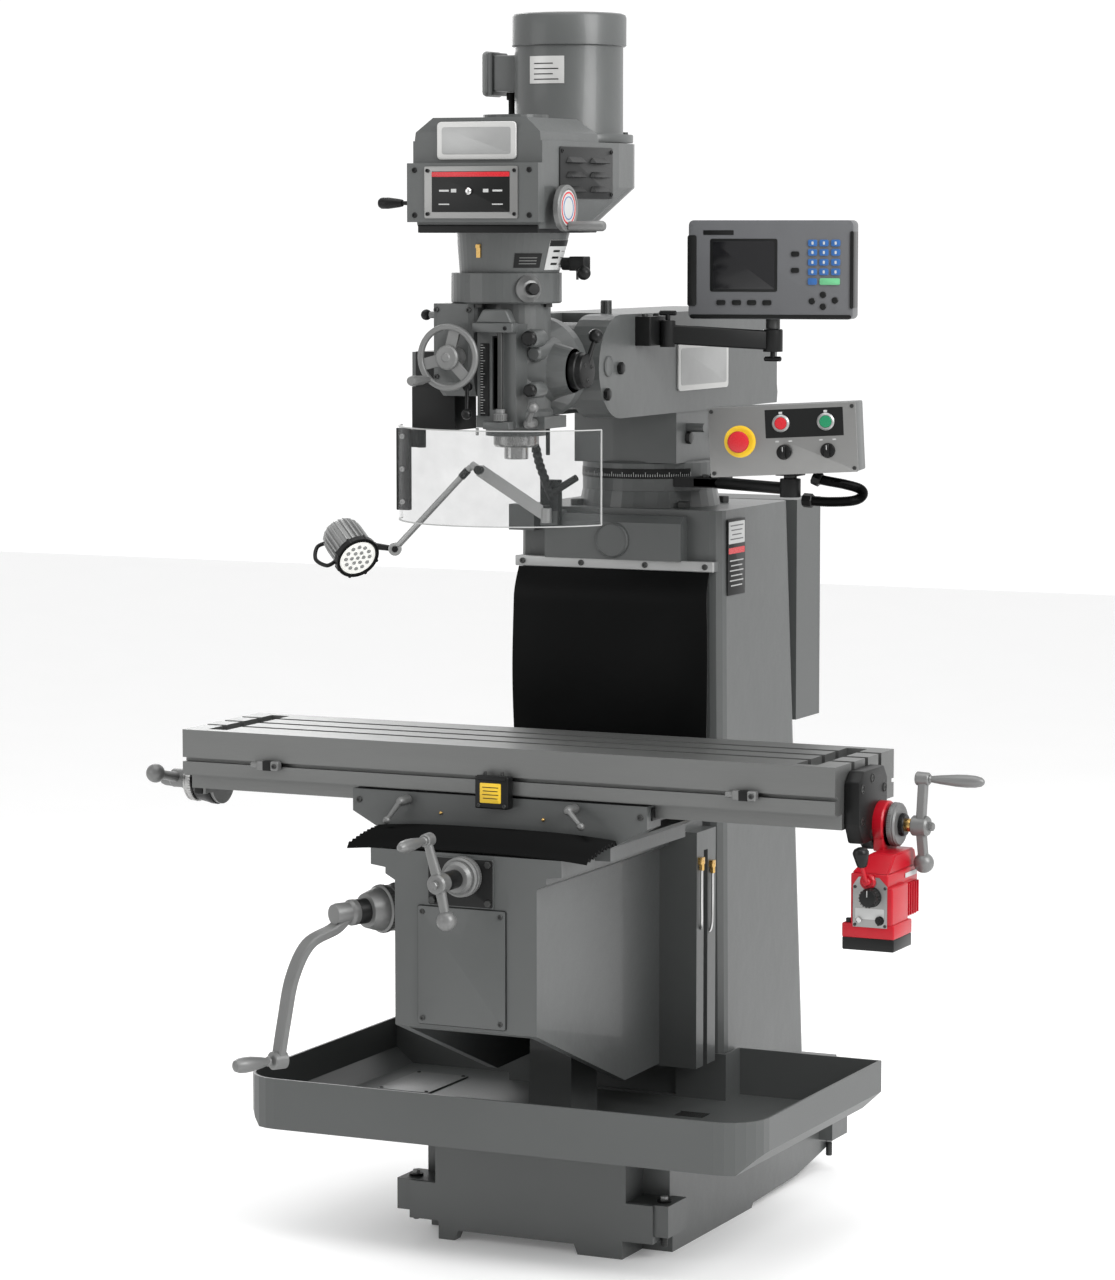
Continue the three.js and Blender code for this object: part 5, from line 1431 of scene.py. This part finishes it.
coolant.rod(at(-128, 424, 1448), at(-72, 430, 1482), 8, 7)
coolant.done()

# ---------------------------------------------------------------- lamp
LAMP_AXIS = Vector((0.707, -0.501, -0.498)).normalized()
LENS_MIDDLE = at(-492, 288, 1315)
KNUCKLE = at(-424, 318, 1335)
LAMP_TURN = Z.rotation_difference(LAMP_AXIS).to_matrix()


def on_lamp(angle, r, t):
    """A point by its angle in degrees, radius and distance ahead of the lens, in millimetres."""
    a = math.radians(angle)
    return LENS_MIDDLE + (LAMP_TURN @ Vector((r * math.cos(a), r * math.sin(a), t))) * MM


lamp = Shape("lamp_head_detail", "lamp_head", BRIGHT, "satin_alloy")
lamp.turned([(0, -107), (20, -107), (28, -104), (35, -94), (37, -80), (37, -16), (43, -15), (43, -12), (0,
        -12)],
            LENS_MIDDLE, LAMP_AXIS, 72)
for k in range(22):
    root = on_lamp(360 * k / 22, 0, 0)
    radial = (on_lamp(360 * k / 22, 1, 0) - root) * 1000
    lamp.prism([(28, -100), (35, -97), (41.5, -86), (42.5, -70), (42.5, -17), (28, -17)],
               root - LAMP_AXIS.cross(radial) * -0.0014, radial, LAMP_AXIS, 2.8, 0.7)
lamp.use(BLACK_PLASTIC).turned([(37, -16), (45, -15), (46.5, -13), (46.5, -2), (45, 0), (40, 0), (38.5, -3),
                                (37, -16)],
                               LENS_MIDDLE, LAMP_AXIS, 64)
for k in range(8):
    lamp.rod(on_lamp(45 * k, 44.5, -16), on_lamp(45 * k, 44.5, 0.6), 3.6, 3.6, 1, 14)
lamp.use(LENS).turned([(0, -5), (39, -5), (39, -3), (0, -2.4)], LENS_MIDDLE, LAMP_AXIS, 56)
lamp.use(LIGHT_PLASTIC)
for radius, count in ((0, 1), (13, 6), (26, 12)):
    for k in range(count):
        lamp.turned([(0, -3), (4.4, -3), (4.0, -1.4), (0, -0.6)], on_lamp(360 * k / count, radius, 0),
                    LAMP_AXIS, 16)
outward = (LENS_MIDDLE - KNUCKLE)
outward -= LAMP_AXIS * outward.dot(LAMP_AXIS)
outward.normalize()
lamp.use(BLACK_PLASTIC)
root_a = LENS_MIDDLE - LAMP_AXIS * 0.024 + outward * 0.041
root_b = LENS_MIDDLE - LAMP_AXIS * 0.086 + outward * 0.036
lamp.sweep(smooth_path([root_a, root_a + outward * 0.020, (root_a + root_b) / 2 + outward * 0.034,
                        root_b + outward * 0.020,
                        root_b], 8), circle(4.2, 14), LAMP_AXIS.cross(outward))
lug = LENS_MIDDLE - LAMP_AXIS * 0.010 - outward * 0.044
lamp.rod(lug, KNUCKLE + (lug - KNUCKLE).normalized() * 0.0135, 7, 6, 1, 24)
lamp.done(["lamp_head"])

lower = Shape("lamp_arm_lower_detail", "lamp_arm_lower", BRIGHT, "satin_alloy")
foot, elbow, tip = at(-131, 412, 1405), at(-240, 330, 1498), at(-256, 330, 1507)
lower.rod(at(-131, 412, 1390), at(-131, 412, 1420), 10.8, 10.8, 1, 32)
lower.sweep([foot, foot + (elbow - foot) * 0.3, foot + (elbow - foot) * 0.7, elbow],
            [(-3, -12.5), (3, -12.5), (3, 12.5), (-3, 12.5)], Z)
lower.rod(elbow, tip + (tip - elbow).normalized() * 0.003, 8, 8, 1, 28)
lower.use(BLACK_PLASTIC).rod(at(-131, 412, 1420), at(-131, 412, 1426), 8, 8, 1, 24)
lower.rod(elbow + Y * 0.009, elbow - Y * 0.009, 9, 9, 1, 28)
lower.done(["lamp_arm_lower"], 24)
upper = Shape("lamp_arm_upper_detail", "lamp_arm_upper", BRIGHT, "satin_alloy")
run = (KNUCKLE - tip).normalized()
upper.rod(tip + run * 0.004, KNUCKLE, 6.5, 6.5, 1, 28)
upper.use(BLACK_PLASTIC).rod(tip + run * 0.013, tip + run * 0.034, 8, 8, 1, 28)
facing_out = Vector((0.42, -0.905, 0.0)).normalized()
upper.use(BRIGHT).turned([(0, -8), (12, -8), (13.4, -7), (13.4, 7), (12, 8), (0, 8)], KNUCKLE, facing_out,
                         40)
upper.use(BLACK_PLASTIC).turned([(0, 8), (6, 8), (6.4, 9), (6.4, 12), (5, 13), (0, 13)], KNUCKLE,
                                facing_out, 28)
upper.done(["lamp_arm_upper"])

# ---------------------------------------------------------------- base and tray
feet = Shape("levelling_screws", "stand", DARK_STEEL, None)
for x in (-268, 268):
    for y in (98, 968):
        feet.use(BLACK_PAINT).turned([(7.4, 112), (14, 112), (14.4, 113), (14.4, 115.4), (14, 116), (7.4,
                116), (7.4, 112)],
                                     at(x, y, 0), Z, 32)
        feet.use(BRIGHT).turned([(0, 115), (7.6, 115), (8, 115.6), (8, 122.4), (7, 123.4), (0, 123.6)],
                                at(x, y, 0), Z, 6)
        feet.use(DARK_STEEL).rod(at(x, y, 24), at(x, y, 52), 6.6, 6.6, 1.2, 24)
        for k in range(7):
            feet.turned([(6.4, 0), (7.2, 1), (6.4, 2), (6.0, 1), (6.4, 0)], at(x, y, 27 + 3.4 * k), Z, 16)
feet.done()

tray = Shape("tray_trim", "stand", SHEET_PAINT, None)
tray.block(-446, -328, 268, 452, 236, 239, 1)
tray.use(DARK_STEEL)
for x in (-438, -336):
    for y in (276, 444):
        tray.screw(at(x, y, 239), Z, 4, 2)
for k in range(7):
    tray.block(200, 256, 303 + 6 * k, 305.4 + 6 * k, 231, 236, 0.4)
tray.done()

cabinet = Shape("cabinet_trim", "cabinet_door", DARK_STEEL, None)
cabinet.use(BLACK_PLASTIC).prism(rounded(24, 92, 5), at(188, 1012, 1190), -X, Z, 8, 2)
cabinet.use(DARK_STEEL)
for z in (1010, 1190, 1368):
    cabinet.rod(at(-220, 1006, z - 20), at(-220, 1006, z + 20), 6, 6)
cabinet.done()
gland = Shape("cabinet_gland", "stand", BLACK_PLASTIC, None)
gland.rod(at(60, 940, 960), at(60, 940, 940), 14, 14, 2, 12)
gland.rod(at(120, 940, 960), at(120, 940, 944), 11, 11, 2, 12)
gland.done()


# ---------------------------------------------------------------- floor
floor_mat = surface("studio_floor", (0.93, 0.93, 0.93), 0.0, 0.7, 0.03, 0.01, 3, (300, 0.00002))
floor_mesh = bpy.data.meshes.new("floor")
floor_bm = bmesh.new()
bmesh.ops.create_grid(floor_bm, x_segments=8, y_segments=8, size=14)
floor_bm.to_mesh(floor_mesh)
floor_bm.free()
floor_mat.node_tree.nodes["Principled BSDF"].inputs["Emission Color"].default_value = (1, 1, 1, 1)
floor_mat.node_tree.nodes["Principled BSDF"].inputs["Emission Strength"].default_value = 0.12
floor_mesh.materials.append(floor_mat)
floor = bpy.data.objects.new("floor", floor_mesh)
bpy.context.scene.collection.objects.link(floor)
floor.location = (0, 0, -0.0005)
